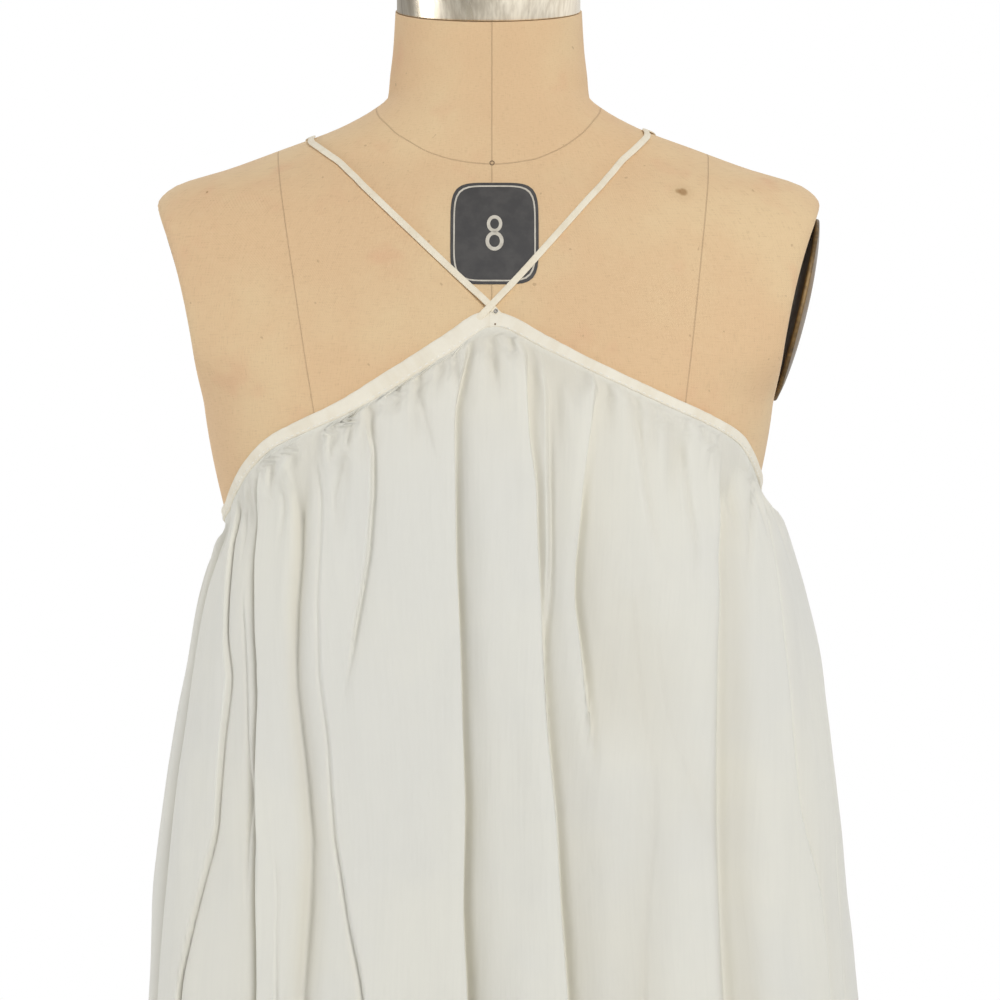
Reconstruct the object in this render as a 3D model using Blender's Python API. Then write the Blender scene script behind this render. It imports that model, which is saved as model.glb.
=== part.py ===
# Sleeveless halter tent dress, gathered to narrow neck bindings and hung from two thin straps
# that cross at the centre front, worn by a limbless dress form on a plain pole and round base.
# Metres, +Z up. The origin is the centre of the base's flat underside. The front faces -Y.
# Round the body an angle of 0 is the centre front, +90 is the +X side and 180 the centre back.

import math
from collections import namedtuple

import bmesh
import bpy
from mathutils import Vector

MM = 0.001

# Seams and seats
SEAM_GAP = 0.3 * MM
BODY_CLEAR = 0.5 * MM

# Dress
HEM_HEIGHT = 0.430
WALL = 1.6 * MM
FRONT_GATHERS = 28
BACK_GATHERS = 20
COLUMNS_PER_GATHER = 3
GATHER_DEPTH = 3.0 * MM
FLOW_NEAR = 0.62
FLOW_FALL = 0.26
BLEND = 3 * MM

# Bindings and straps
BINDING_INNER = 0.4 * MM
BINDING_THICK = 1.8 * MM
STRAP_WIDTH = 4.4 * MM
STRAP_THICK = 1.0 * MM
STRAP_STEPS = 3

# Form. Each arm is cut off by a shallow round scoop with its axis along Y, given by how far out
# and how high its edge is at the top and the bottom, and by its depth.
ARM_TOP = (0.1875, 1.3300)
ARM_LOW = (0.1620, 1.2218)
ARM_DEPTH = 5.0 * MM
ARM_LEAN = math.atan2(ARM_TOP[0] - ARM_LOW[0], ARM_TOP[1] - ARM_LOW[1])
ARM_RADIUS = ((0.5 * math.dist(ARM_TOP, ARM_LOW))**2 + ARM_DEPTH**2) / (2 * ARM_DEPTH)
SCOOP_LENGTH = 0.300
SCOOP_STEPS = 240
NECK_BASE_HEIGHT = 1.397
CAP_SEAT_HEIGHT = 1.447
CAP_TILT = math.radians(15.6)
CAP_HALF_WIDTH = 0.0530
CAP_HALF_DEPTH = 0.0520
CAP_CENTRE_Y = -0.0015
CAP_HEIGHT = 0.036
CAP_EDGE = 0.003

# Arm plates: the left one lies in the scoop and follows it, the right one spans it.
Plate = namedtuple("Plate", "half_tall half_deep edge proud bent")
PLATES = {"left": Plate(0.0500, 0.030, 0.0008, 0.0016, True),
          "right": Plate(0.0535, 0.040, 0.0037, 0.0097, False)}

# Stand
BASE_RADIUS = 0.215
BASE_THICK = 0.013
BASE_EDGE = 0.003
BASE_RISE = 0.006
HUB_RADIUS = 0.042
HUB_TOP = 0.046
POLE_RADIUS = 0.016
FORM_UNDERSIDE = 0.764

# Cross-sections of the form: half is the width from the middle, power sets how square it is.
Section = namedtuple("Section", "height half front back power")
FORM_SECTIONS = [
    Section(0.764, 0.150, 0.088, 0.108, 2.20),
    Section(0.772, 0.160, 0.098, 0.118, 2.20),
    Section(0.815, 0.168, 0.106, 0.124, 2.20),
    Section(0.880, 0.162, 0.104, 0.115, 2.20),
    Section(0.945, 0.139, 0.097, 0.098, 2.15),
    Section(1.015, 0.119, 0.088, 0.082, 2.10),
    Section(1.080, 0.130, 0.097, 0.088, 2.10),
    Section(1.130, 0.143, 0.111, 0.095, 2.15),
    Section(1.180, 0.1555, 0.124, 0.101, 2.20),
    Section(1.215, 0.1632, 0.120, 0.105, 2.25),
    Section(1.222, 0.1650, 0.119, 0.105, 2.25),
    Section(1.250, 0.186, 0.109, 0.105, 2.30),
    Section(1.285, 0.198, 0.094, 0.102, 2.30),
    Section(1.320, 0.200, 0.078, 0.094, 2.30),
    Section(1.339, 0.1885, 0.068, 0.085, 2.20),
    Section(1.346, 0.180, 0.064, 0.082, 2.00),
    Section(1.356, 0.149, 0.060, 0.078, 1.85),
    Section(1.367, 0.119, 0.058, 0.075, 1.80),
    Section(1.379, 0.0865, 0.056, 0.071, 1.85),
    Section(1.391, 0.0645, 0.054, 0.066, 1.95),
    Section(1.397, 0.0578, 0.0535, 0.062, 2.00),
    Section(1.410, 0.0565, 0.0530, 0.0585, 2.00),
    Section(1.425, 0.0548, 0.0530, 0.0550, 2.00),
    Section(1.447, 0.0535, 0.0540, 0.0510, 2.00),
]
FORM_QUARTER_ANGLES = [0, 10, 20, 30, 40, 50, 60, 68, 75, 82]

# The dress where it hangs free. Its sides are uneven, as it hangs a little to one side.
Hang = namedtuple("Hang", "height left right front back power")
HANG_SECTIONS = [
    Hang(0.430, 0.2300, 0.2470, 0.198, 0.190, 2.10),
    Hang(0.640, 0.2150, 0.2315, 0.184, 0.173, 2.10),
    Hang(0.880, 0.1926, 0.2095, 0.163, 0.149, 2.10),
    Hang(0.937, 0.1895, 0.2040, 0.157, 0.141, 2.10),
    Hang(1.006, 0.1818, 0.1970, 0.149, 0.130, 2.10),
    Hang(1.075, 0.1696, 0.1868, 0.141, 0.119, 2.10),
    Hang(1.109, 0.1635, 0.1795, 0.137, 0.113, 2.10),
    Hang(1.132, 0.1570, 0.1730, 0.134, 0.109, 2.10),
    Hang(1.155, 0.1498, 0.1655, 0.131, 0.105, 2.10),
    Hang(1.1665, 0.1475, 0.1605, 0.129, 0.102, 2.10),
    Hang(1.190, 0.1470, 0.1530, 0.124, 0.098, 2.10),
    Hang(1.240, 0.1350, 0.1350, 0.103, 0.088, 2.10),
    Hang(1.300, 0.1100, 0.1100, 0.068, 0.068, 2.10),
]

# The neck edge round the body: its height, and how far down the binding reaches below it.
CROSSING_ANGLE = 0.6
NECK_EDGE_PEAK = 1.268
NECK_EDGE_SIDE = 1.159
Edge = namedtuple("Edge", "angle height band")
NECK_EDGE = [
    Edge(-180, 1.150, 6.0 * MM),
    Edge(-130, 1.152, 6.0 * MM),
    Edge(-105, 1.155, 6.0 * MM),
    Edge(-90, NECK_EDGE_SIDE, 6.0 * MM),
    Edge(-75, 1.1654, 6.0 * MM),
    Edge(-67, 1.1765, 6.3 * MM),
    Edge(-60.4, 1.1885, 6.8 * MM),
    Edge(-52.4, 1.2016, 7.2 * MM),
    Edge(-44.9, 1.2097, 7.6 * MM),
    Edge(-35.8, 1.2197, 8.6 * MM),
    Edge(-23.6, 1.2373, 10.0 * MM),
    Edge(-11.6, 1.2547, 10.0 * MM),
    Edge(0, NECK_EDGE_PEAK, 9.0 * MM),
    Edge(3.4, 1.2672, 8.0 * MM),
    Edge(16.6, 1.2537, 7.0 * MM),
    Edge(28.3, 1.2398, 6.2 * MM),
    Edge(43.7, 1.2227, 6.0 * MM),
    Edge(53.4, 1.2133, 6.0 * MM),
    Edge(63.3, 1.2029, 6.0 * MM),
    Edge(68.3, 1.1948, 6.0 * MM),
    Edge(75.1, 1.1850, 6.0 * MM),
    Edge(90, 1.1730, 6.0 * MM),
    Edge(105, 1.1640, 6.0 * MM),
    Edge(130, 1.1560, 6.0 * MM),
    Edge(180, 1.1500, 6.0 * MM),
]

# Creases in the dress: the angle at five heights, where each begins and ends, its depth near the
# top and at the hem, and half its width there.
Fold = namedtuple("Fold", "bust chest waist hip hem starts ends depth hem_depth width hem_width")
FOLD_HEIGHTS = [HEM_HEIGHT, 0.90, 1.00, 1.10, 1.20]
FRONT_FOLDS = [
    Fold(-8.6, -6.8, -5.1, -4.3, -4, 1.24, 0.40, 4.0, 10, 5, 13),
    Fold(9.1, 10.8, 12.8, 14.3, 16, 1.24, 0.40, 4.5, 11, 5, 13),
    Fold(13.3, 11.6, 12, 12, 12, 1.24, 1.09, 2.0, 0, 4, 4),
    Fold(23.0, 18.3, 22, 22, 22, 1.23, 1.03, 3.0, 0, 5, 6),
    Fold(34.5, 38, 38, 38, 38, 1.23, 1.12, 2.5, 0, 5, 6),
    Fold(44.0, 44, 44, 44, 44, 1.22, 1.10, 2.5, 0, 5, 6),
    Fold(31.0, 30.7, 32, 27.8, 27, 1.12, 0.40, 3.5, 10, 6, 14),
    Fold(36.0, 35.5, 41.8, 44.5, 46, 1.10, 0.96, 2.5, 0, 8, 8),
    Fold(57.4, 50.5, 46.8, 44.7, 44, 1.21, 0.40, 5.0, 11, 5, 14),
    Fold(66.0, 54, 54, 54, 54, 1.20, 1.10, 3.0, 0, 5, 6),
    Fold(68.5, 65.4, 63.1, 67, 67, 1.19, 0.40, 4.5, 11, 6, 15),
    Fold(80.0, 79, 77.4, 73, 80, 1.02, 0.40, 2.5, 7, 7, 16),
    Fold(-27.5, -29, -30.3, -30, -30, 1.23, 1.06, 3.0, 0, 5, 6),
    Fold(-40.0, -36.7, -31, -23, -19, 1.19, 0.40, 4.5, 10, 6, 13),
    Fold(-44.5, -43, -36.3, -35, -34, 1.20, 0.40, 5.0, 10, 5, 13),
    Fold(-56.7, -52.3, -47, -44, -48, 1.19, 0.40, 4.5, 9, 5, 14),
    Fold(-65.5, -61, -57, -62.8, -65, 1.18, 0.40, 4.0, 9, 6, 15),
    Fold(-78.0, -78, -77, -78, -80, 1.12, 0.40, 2.5, 7, 7, 16),
]
BACK_FOLDS = [
    Fold(103, 104, 104, 103, 102, 1.15, 0.40, 3.0, 9, 6, 15),
    Fold(117, 119, 121, 120, 119, 1.15, 0.40, 4.0, 10, 6, 14),
    Fold(131, 134, 137, 139, 138, 1.15, 0.40, 4.5, 11, 6, 14),
    Fold(146, 148, 150, 151, 152, 1.14, 0.98, 3.0, 0, 6, 6),
    Fold(158, 160, 161, 160, 159, 1.15, 0.40, 4.0, 10, 6, 14),
    Fold(172, 174, 176, 177, 178, 1.15, 0.40, 4.5, 11, 6, 14),
    Fold(186, 187, 188, 188, 188, 1.14, 1.00, 3.0, 0, 6, 6),
    Fold(199, 199, 198, 197, 198, 1.15, 0.40, 4.0, 10, 6, 14),
    Fold(215, 214, 213, 214, 215, 1.15, 0.40, 4.5, 11, 6, 14),
    Fold(229, 228, 226, 226, 226, 1.14, 0.99, 3.0, 0, 6, 6),
    Fold(241, 240, 238, 236, 236, 1.15, 0.40, 4.0, 10, 6, 14),
    Fold(257, 256, 255, 256, 256, 1.15, 0.40, 3.0, 9, 6, 15),
]
FOLD_LIFT = 0.35
RIDGE_AWAY = 1.9
FOLD_FADE = 0.05

# Rows of each panel as a share of the way from its top edge to the hem, and how deep the gathers
# still are there.
Row = namedtuple("Row", "share gather")
FRONT_ROWS = [
    Row(0.0, 0.45), Row(0.010, 0.95), Row(0.024, 1.0), Row(0.045, 0.85), Row(0.075, 0.60),
    Row(0.115, 0.36), Row(0.165, 0.20), Row(0.23, 0.10), Row(0.31, 0.0), Row(0.40, 0.0),
    Row(0.50, 0.0), Row(0.62, 0.0), Row(0.75, 0.0), Row(0.88, 0.0), Row(1.0, 0.0),
]
BACK_ROWS = [
    Row(0.0, 0.45), Row(0.012, 0.95), Row(0.03, 1.0), Row(0.06, 0.80), Row(0.105, 0.48),
    Row(0.165, 0.22), Row(0.25, 0.08), Row(0.36, 0.0), Row(0.50, 0.0), Row(0.66, 0.0),
    Row(0.83, 0.0), Row(1.0, 0.0),
]

# Each strap's route over the form: angle, height and how far its underside is lifted off it.
Route = namedtuple("Route", "angle height lift")
STRAP_LEFT_ROUTE = [
    Route(4.6, 1.2634, 2.5 * MM),
    Route(2.6, 1.2668, 2.5 * MM),
    Route(1.0, 1.2702, 2.5 * MM),
    Route(-2.4, 1.2760, 2.2 * MM),
    Route(-6.2, 1.2821, 1.1 * MM),
    Route(-14.1, 1.2940, 0.5 * MM),
    Route(-22.6, 1.3061, 0.5 * MM),
    Route(-31.4, 1.3183, 0.5 * MM),
    Route(-40.4, 1.3306, 0.5 * MM),
    Route(-50.0, 1.3434, 0.5 * MM),
    Route(-61.6, 1.3568, 0.5 * MM),
    Route(-73.0, 1.3665, 0.5 * MM),
    Route(-85.5, 1.3728, 0.5 * MM),
    Route(-98.0, 1.3717, 0.5 * MM),
    Route(-110.0, 1.3640, 0.5 * MM),
    Route(-121.0, 1.3520, 0.5 * MM),
    Route(-129.0, 1.3370, 0.5 * MM),
    Route(-135.0, 1.3050, 0.5 * MM),
    Route(-139.0, 1.2600, 0.5 * MM),
    Route(-142.0, 1.2050, 0.5 * MM),
    Route(-143.5, 1.1650, 1.0 * MM),
    Route(-143.8, 1.1560, 2.4 * MM),
    Route(-144.0, 1.1480, 2.5 * MM),
]
STRAP_RIGHT_ROUTE = [
    Route(-2.6, 1.2630, 2.5 * MM),
    Route(-0.9, 1.2668, 3.8 * MM),
    Route(1.0, 1.2702, 3.8 * MM),
    Route(4.0, 1.2760, 3.4 * MM),
    Route(7.4, 1.2824, 1.8 * MM),
    Route(14.4, 1.2946, 0.5 * MM),
    Route(21.9, 1.3069, 0.5 * MM),
    Route(29.9, 1.3194, 0.5 * MM),
    Route(38.4, 1.3321, 0.5 * MM),
    Route(47.9, 1.3451, 0.5 * MM),
    Route(58.6, 1.3586, 0.5 * MM),
    Route(70.0, 1.3695, 0.5 * MM),
    Route(83.0, 1.3765, 0.5 * MM),
    Route(96.0, 1.3752, 0.5 * MM),
    Route(109.0, 1.3670, 0.5 * MM),
    Route(121.0, 1.3540, 0.5 * MM),
    Route(129.5, 1.3370, 0.5 * MM),
    Route(136.0, 1.3050, 0.5 * MM),
    Route(140.0, 1.2600, 0.5 * MM),
    Route(143.0, 1.2050, 0.5 * MM),
    Route(144.5, 1.1690, 1.0 * MM),
    Route(144.8, 1.1590, 2.4 * MM),
    Route(145.0, 1.1490, 2.5 * MM),
]

# Colours (linear), roughness and metallic value of each material
Finish = namedtuple("Finish", "color roughness metallic")
COTTON = Finish((0.68, 0.67, 0.60), 0.85, 0.0)
BINDING = Finish((0.74, 0.69, 0.56), 0.80, 0.0)
LINEN = Finish((0.70, 0.49, 0.29), 0.90, 0.0)
CAP_METAL = Finish((0.52, 0.48, 0.42), 0.32, 1.0)
PLATE_METAL = Finish((0.05, 0.04, 0.025), 0.40, 0.6)
POLE_METAL = Finish((0.30, 0.29, 0.27), 0.35, 1.0)
CAST_IRON = Finish((0.03, 0.03, 0.03), 0.55, 0.4)


def hermite(places, values, at):
    """Smooth curve through the values that never overshoots them."""
    if at <= places[0]:
        return values[0]
    if at >= places[-1]:
        return values[-1]
    low = max(k for k in range(len(places) - 1) if places[k] <= at)
    steps = [(values[k + 1] - values[k]) / (places[k + 1] - places[k])
             for k in range(len(places) - 1)]

    def slope(k):
        if k == 0:
            return steps[0]
        if k == len(places) - 1:
            return steps[-1]
        before, after = steps[k - 1], steps[k]
        return 0.0 if before * after <= 0 else 2 * before * after / (before + after)

    span = places[low + 1] - places[low]
    t = (at - places[low]) / span
    return ((2 * t**3 - 3 * t**2 + 1) * values[low]
            + (t**3 - 2 * t**2 + t) * span * slope(low)
            + (3 * t**2 - 2 * t**3) * values[low + 1]
            + (t**3 - t**2) * span * slope(low + 1))


def look_up(rows, key, column, at):
    """One column of a table, read smoothly between its rows."""
    return hermite([getattr(r, key) for r in rows], [getattr(r, column) for r in rows], at)


def ease(t):
    """Smooth step from 0 to 1."""
    t = min(max(t, 0.0), 1.0)
    return t * t * (3 - 2 * t)


def oval_radius(angle, half, depth, power):
    """Distance from the middle to a squared oval, in the direction of the angle."""
    across = abs(math.sin(angle) / half) ** power
    along = abs(math.cos(angle) / depth) ** power
    return (across + along) ** (-1 / power)


def form_radius(angle, height):
    """Distance from the form's axis to its surface, before the arms are cut off."""
    depth = look_up(FORM_SECTIONS, "height", "front" if math.cos(angle) > 0 else "back", height)
    half = look_up(FORM_SECTIONS, "height", "half", height)
    power = look_up(FORM_SECTIONS, "height", "power", height)
    return oval_radius(angle, half, depth, power)


def hang_radius(angle, height):
    """Distance from the axis to the cloth where it hangs free."""
    side = "right" if math.sin(angle) > 0 else "left"
    face = "front" if math.cos(angle) > 0 else "back"
    return oval_radius(angle, look_up(HANG_SECTIONS, "height", side, height),
                       look_up(HANG_SECTIONS, "height", face, height),
                       look_up(HANG_SECTIONS, "height", "power", height))


def drape_radius(angle, height):
    """The cloth without folds: it follows the form at the top and hangs free below."""
    on_form = form_radius(angle, height) + BODY_CLEAR
    free = hang_radius(angle, height)
    return 0.5 * (on_form + free + math.sqrt((on_form - free) ** 2 + BLEND**2))


def fold_offset(folds, angle, height, radius):
    """Depth of the creases at a place: a trough with a low ridge on each side."""
    total = 0.0
    for fold in folds:
        shown = ease((fold.starts - height) / FOLD_FADE) * ease((height - fold.ends) / FOLD_FADE)
        if shown == 0.0:
            continue
        at = hermite(FOLD_HEIGHTS, [fold.hem, fold.hip, fold.waist, fold.chest, fold.bust], height)
        down = ease((FOLD_HEIGHTS[-1] - height) / (FOLD_HEIGHTS[-1] - HEM_HEIGHT))
        depth = (fold.depth + (fold.hem_depth - fold.depth) * down) * MM
        width = (fold.width + (fold.hem_width - fold.width) * down) * MM
        away = radius * (angle - math.radians(at)) / width
        trough = math.exp(-away**2)
        ridges = math.exp(-(away - RIDGE_AWAY) ** 2) + math.exp(-(away + RIDGE_AWAY) ** 2)
        total += shown * depth * (FOLD_LIFT * ridges - trough)
    return total


def surface_point(angle, height, radius):
    return Vector((radius * math.sin(angle), -radius * math.cos(angle), height))


def form_normal(point):
    """Outward direction of the form's surface at a point on it."""
    def level(p):
        return math.hypot(p.x, p.y) - form_radius(math.atan2(p.x, -p.y), p.z)

    reach = 0.5 * MM
    steps = [Vector((reach, 0, 0)), Vector((0, reach, 0)), Vector((0, 0, reach))]
    return Vector([level(point + s) - level(point - s) for s in steps]).normalized()


def make_material(name, finish):
    material = bpy.data.materials.new(name)
    material.use_nodes = True
    shader = material.node_tree.nodes["Principled BSDF"]
    shader.inputs["Base Color"].default_value = (*finish.color, 1.0)
    shader.inputs["Roughness"].default_value = finish.roughness
    shader.inputs["Metallic"].default_value = finish.metallic
    return material


def add_object(name, bm, finish, sharp_angle=40):
    """Make an object from a closed mesh, shaded smooth except at sharp edges."""
    bmesh.ops.recalc_face_normals(bm, faces=bm.faces)
    mesh = bpy.data.meshes.new(name)
    bm.to_mesh(mesh)
    bm.free()
    mesh.materials.append(make_material(name + "_finish", finish))
    mesh.shade_smooth()
    mesh.set_sharp_from_angle(angle=math.radians(sharp_angle))
    item = bpy.data.objects.new(name, mesh)
    bpy.context.scene.collection.objects.link(item)
    return item


def wall_mesh(outer, inner):
    """A closed wall between two grids of points of the same shape."""
    bm = bmesh.new()
    out = [[bm.verts.new(p) for p in row] for row in outer]
    into = [[bm.verts.new(p) for p in row] for row in inner]
    rows, columns = len(out), len(out[0])
    for i in range(rows - 1):
        for j in range(columns - 1):
            bm.faces.new((out[i][j], out[i + 1][j], out[i + 1][j + 1], out[i][j + 1]))
            bm.faces.new((into[i][j], into[i][j + 1], into[i + 1][j + 1], into[i + 1][j]))
    for j in range(columns - 1):
        bm.faces.new((out[0][j], out[0][j + 1], into[0][j + 1], into[0][j]))
        bm.faces.new((out[-1][j], into[-1][j], into[-1][j + 1], out[-1][j + 1]))
    for i in range(rows - 1):
        bm.faces.new((out[i][0], into[i][0], into[i + 1][0], out[i + 1][0]))
        bm.faces.new((out[i][-1], out[i + 1][-1], into[i + 1][-1], into[i][-1]))
    return bm


def ring_stack_mesh(rings):
    """A closed solid through rings of points, with a flat face at each end."""
    bm = bmesh.new()
    loops = [[bm.verts.new(p) for p in ring] for ring in rings]
    count = len(loops[0])
    for low, high in zip(loops, loops[1:]):
        for j in range(count):
            k = (j + 1) % count
            bm.faces.new((low[j], low[k], high[k], high[j]))
    bm.faces.new(list(reversed(loops[0])))
    bm.faces.new(loops[-1])
    return bm


def column_flow(share, fall):
    """Angle of a column of the front: columns drift towards the middle as they fall."""
    low = share * (FLOW_NEAR + (1 - FLOW_NEAR) * share**2)
    return math.radians(90) * (share + (low - share) * ease(fall / FLOW_FALL))


def gather_profile(position, count):
    """Height of the gathers across a panel: round ridges with narrow valleys, uneven in size."""
    phase = position * count
    uneven = 0.80 + 0.20 * math.sin(2.3 * math.floor(phase + 1e-6) + 0.7)
    return abs(math.sin(math.pi * phase)) * uneven


def dress_panel(name, rows, folds, gathers, angle_at):
    """A gathered panel from below the binding down to the hem, as a wall of even thickness."""
    columns = gathers * COLUMNS_PER_GATHER
    outer, inner = [], []
    for row in rows:
        out_row, in_row = [], []
        for j in range(columns + 1):
            position = j / columns
            top_angle = angle_at(position, 0.0)
            turned = math.degrees(top_angle)
            turned = turned - 360 if turned > 180 else turned
            top = (look_up(NECK_EDGE, "angle", "height", turned)
                   - look_up(NECK_EDGE, "angle", "band", turned) - 2 * SEAM_GAP)
            height = top + (HEM_HEIGHT - top) * row.share
            angle = angle_at(position, top - height)
            radius = drape_radius(angle, height)
            edge = 0.5 * SEAM_GAP / radius
            angle += edge * ((j == 0) - (j == columns))
            offset = fold_offset(folds, angle, height, radius)
            offset += GATHER_DEPTH * row.gather * gather_profile(position, gathers)
            near = form_radius(angle, height) + BODY_CLEAR
            radius = max(radius + offset, near)
            in_row.append(surface_point(angle, height, radius))
            out_row.append(surface_point(angle, height, radius + WALL))
        outer.append(out_row)
        inner.append(in_row)
    return add_object(name, wall_mesh(outer, inner), COTTON)


def front_angle(position, fall):
    return column_flow(2 * position - 1, fall)


def back_angle(position, fall):
    return math.radians(90 + 180 * position)


def binding(name, start, end, segments):
    """A folded strip that lies on the form along the neck edge, from one angle to another."""
    outer, inner = [[], []], [[], []]
    for j in range(segments + 1):
        turned = start + (end - start) * j / segments
        wrapped = turned - 360 if turned > 180 else turned
        top = look_up(NECK_EDGE, "angle", "height", wrapped)
        low = top - look_up(NECK_EDGE, "angle", "band", wrapped)
        angle = math.radians(turned)
        for row, height in enumerate((top, low)):
            radius = form_radius(angle, height) + BINDING_INNER
            inner[row].append(surface_point(angle, height, radius))
            outer[row].append(surface_point(angle, height, radius + BINDING_THICK))
    return add_object(name, wall_mesh(outer, inner), BINDING)


def route_points(route):
    """Points on the form along a strap, a few between each pair of its rows."""
    places = list(range(len(route)))
    angles = [r.angle for r in route]
    heights = [r.height for r in route]
    lifts = [r.lift for r in route]
    for k in range((len(route) - 1) * STRAP_STEPS + 1):
        at = k / STRAP_STEPS
        angle = math.radians(hermite(places, angles, at))
        height = hermite(places, heights, at)
        yield surface_point(angle, height, form_radius(angle, height)), hermite(places, lifts, at)


def strap(name, route):
    """A thin flat strip that lies on the form along its route."""
    path = list(route_points(route))
    outer, inner = [[], []], [[], []]
    for k, (point, lift) in enumerate(path):
        before, after = path[max(k - 1, 0)][0], path[min(k + 1, len(path) - 1)][0]
        normal = form_normal(point)
        side = (after - before).normalized().cross(normal).normalized()
        for row, way in enumerate((0.5, -0.5)):
            edge = point + side * STRAP_WIDTH * way
            inner[row].append(edge + normal * lift)
            outer[row].append(edge + normal * (lift + STRAP_THICK))
    return add_object(name, wall_mesh(outer, inner), BINDING)


def sag(reach):
    """How far the arm scoop has risen at this distance from its deepest line."""
    return ARM_RADIUS - math.sqrt(ARM_RADIUS**2 - reach**2)


def arm_place(way, out):
    """The place this far straight outwards from the deepest point of an arm scoop."""
    beyond = out - ARM_DEPTH
    across = 0.5 * (ARM_TOP[0] + ARM_LOW[0]) + beyond * math.cos(ARM_LEAN)
    return way * across, 0.0, 0.5 * (ARM_TOP[1] + ARM_LOW[1]) - beyond * math.sin(ARM_LEAN)


def cut_arm(body, side):
    """Cut one arm off the body with the round scoop."""
    way = 1 if side == "right" else -1
    bm = bmesh.new()
    bmesh.ops.create_cone(bm, cap_ends=True, segments=SCOOP_STEPS, radius1=ARM_RADIUS,
                          radius2=ARM_RADIUS, depth=SCOOP_LENGTH)
    cutter = add_object("arm_scoop_" + side, bm, LINEN)
    cutter.location = arm_place(way, ARM_RADIUS)
    cutter.rotation_euler = (math.pi / 2, 0.0, 0.0)
    cutter.hide_render = True
    cutter.display_type = "WIRE"
    cut = body.modifiers.new("arm_" + side, "BOOLEAN")
    cut.operation = "DIFFERENCE"
    cut.object = cutter


def form_torso():
    """The smooth closed body of the form, from its flat underside to the tilted neck seat."""
    quarter = FORM_QUARTER_ANGLES
    angles = (quarter + [90] + [180 - a for a in reversed(quarter)]
              + [180 + a for a in quarter[1:]] + [270] + [360 - a for a in reversed(quarter[1:])])
    heights = [s.height for s in FORM_SECTIONS]
    rings = []
    for height in heights:
        tilt = ease((height - NECK_BASE_HEIGHT) / (CAP_SEAT_HEIGHT - NECK_BASE_HEIGHT))
        ring = []
        for degrees in angles:
            angle = math.radians(degrees)
            point = surface_point(angle, height, form_radius(angle, height))
            point.z += tilt * math.tan(CAP_TILT) * point.y
            ring.append(point)
        rings.append(ring)
    torso = add_object("form_torso", ring_stack_mesh(rings), LINEN)
    for side in PLATES:
        cut_arm(torso, side)
    return torso


def oval_ring(half_wide, half_deep, height, count):
    turns = [2 * math.pi * j / count for j in range(count)]
    return [Vector((half_wide * math.sin(a), -half_deep * math.cos(a), height)) for a in turns]


def neck_cap():
    """The metal cap on the neck: a low oval drum with a rounded rim, tilted with the neck."""
    levels = [(0.0, 0.0), (0.0, CAP_HEIGHT - CAP_EDGE), (0.3 * CAP_EDGE, CAP_HEIGHT - 0.3 * CAP_EDGE),
              (CAP_EDGE, CAP_HEIGHT)]
    rings = [oval_ring(CAP_HALF_WIDTH - inset, CAP_HALF_DEPTH - inset, height, 36)
             for inset, height in levels]
    cap = add_object("form_neck_cap", ring_stack_mesh(rings), CAP_METAL)
    seat = CAP_SEAT_HEIGHT + SEAM_GAP + math.tan(CAP_TILT) * CAP_CENTRE_Y
    cap.location = (0.0, CAP_CENTRE_Y, seat)
    cap.rotation_euler = (CAP_TILT, 0.0, 0.0)
    return cap


def arm_plate(side):
    """A domed oval metal plate over the arm scoop, flat behind or bent to follow the scoop."""
    plate = PLATES[side]
    rise = plate.proud - plate.edge
    levels = [(0.2, 0.0), (0.6, 0.0), (1.0, 0.0), (1.0, plate.edge),
              (0.86, plate.edge + 0.42 * rise), (0.55, plate.edge + 0.85 * rise), (0.2, plate.proud)]
    rings = [oval_ring(plate.half_tall * size, plate.half_deep * size, height, 28)
             for size, height in levels]
    if plate.bent:
        for point in (p for ring in rings for p in ring):
            point.z += sag(point.x)
    item = add_object("arm_plate_" + side, ring_stack_mesh(rings), PLATE_METAL)
    way = 1 if side == "right" else -1
    item.location = arm_place(way, SEAM_GAP + (0.0 if plate.bent else sag(plate.half_tall)))
    item.rotation_euler = (0.0, way * (math.pi / 2 + ARM_LEAN), 0.0)
    return item


def turned_solid(name, profile, count, finish):
    """A solid of revolution from (radius, height) pairs, from the bottom up."""
    rings = [oval_ring(radius, radius, height, count) for radius, height in profile]
    return add_object(name, ring_stack_mesh(rings), finish)


def stand_base():
    profile = [(BASE_RADIUS - BASE_EDGE, 0.0), (BASE_RADIUS, BASE_EDGE),
               (BASE_RADIUS, BASE_THICK - BASE_EDGE), (BASE_RADIUS - BASE_EDGE, BASE_THICK),
               (HUB_RADIUS + BASE_EDGE, BASE_THICK + BASE_RISE)]
    return turned_solid("stand_base", profile, 48, CAST_IRON)


def stand_hub():
    """The collar on the base that the pole stands on."""
    seat = BASE_THICK + BASE_RISE + SEAM_GAP
    profile = [(HUB_RADIUS, seat), (HUB_RADIUS, HUB_TOP - BASE_EDGE),
               (HUB_RADIUS - BASE_EDGE, HUB_TOP)]
    return turned_solid("stand_hub", profile, 36, CAST_IRON)


def stand_pole():
    profile = [(POLE_RADIUS, HUB_TOP + SEAM_GAP), (POLE_RADIUS, FORM_UNDERSIDE - SEAM_GAP)]
    return turned_solid("stand_pole", profile, 24, POLE_METAL)


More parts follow.
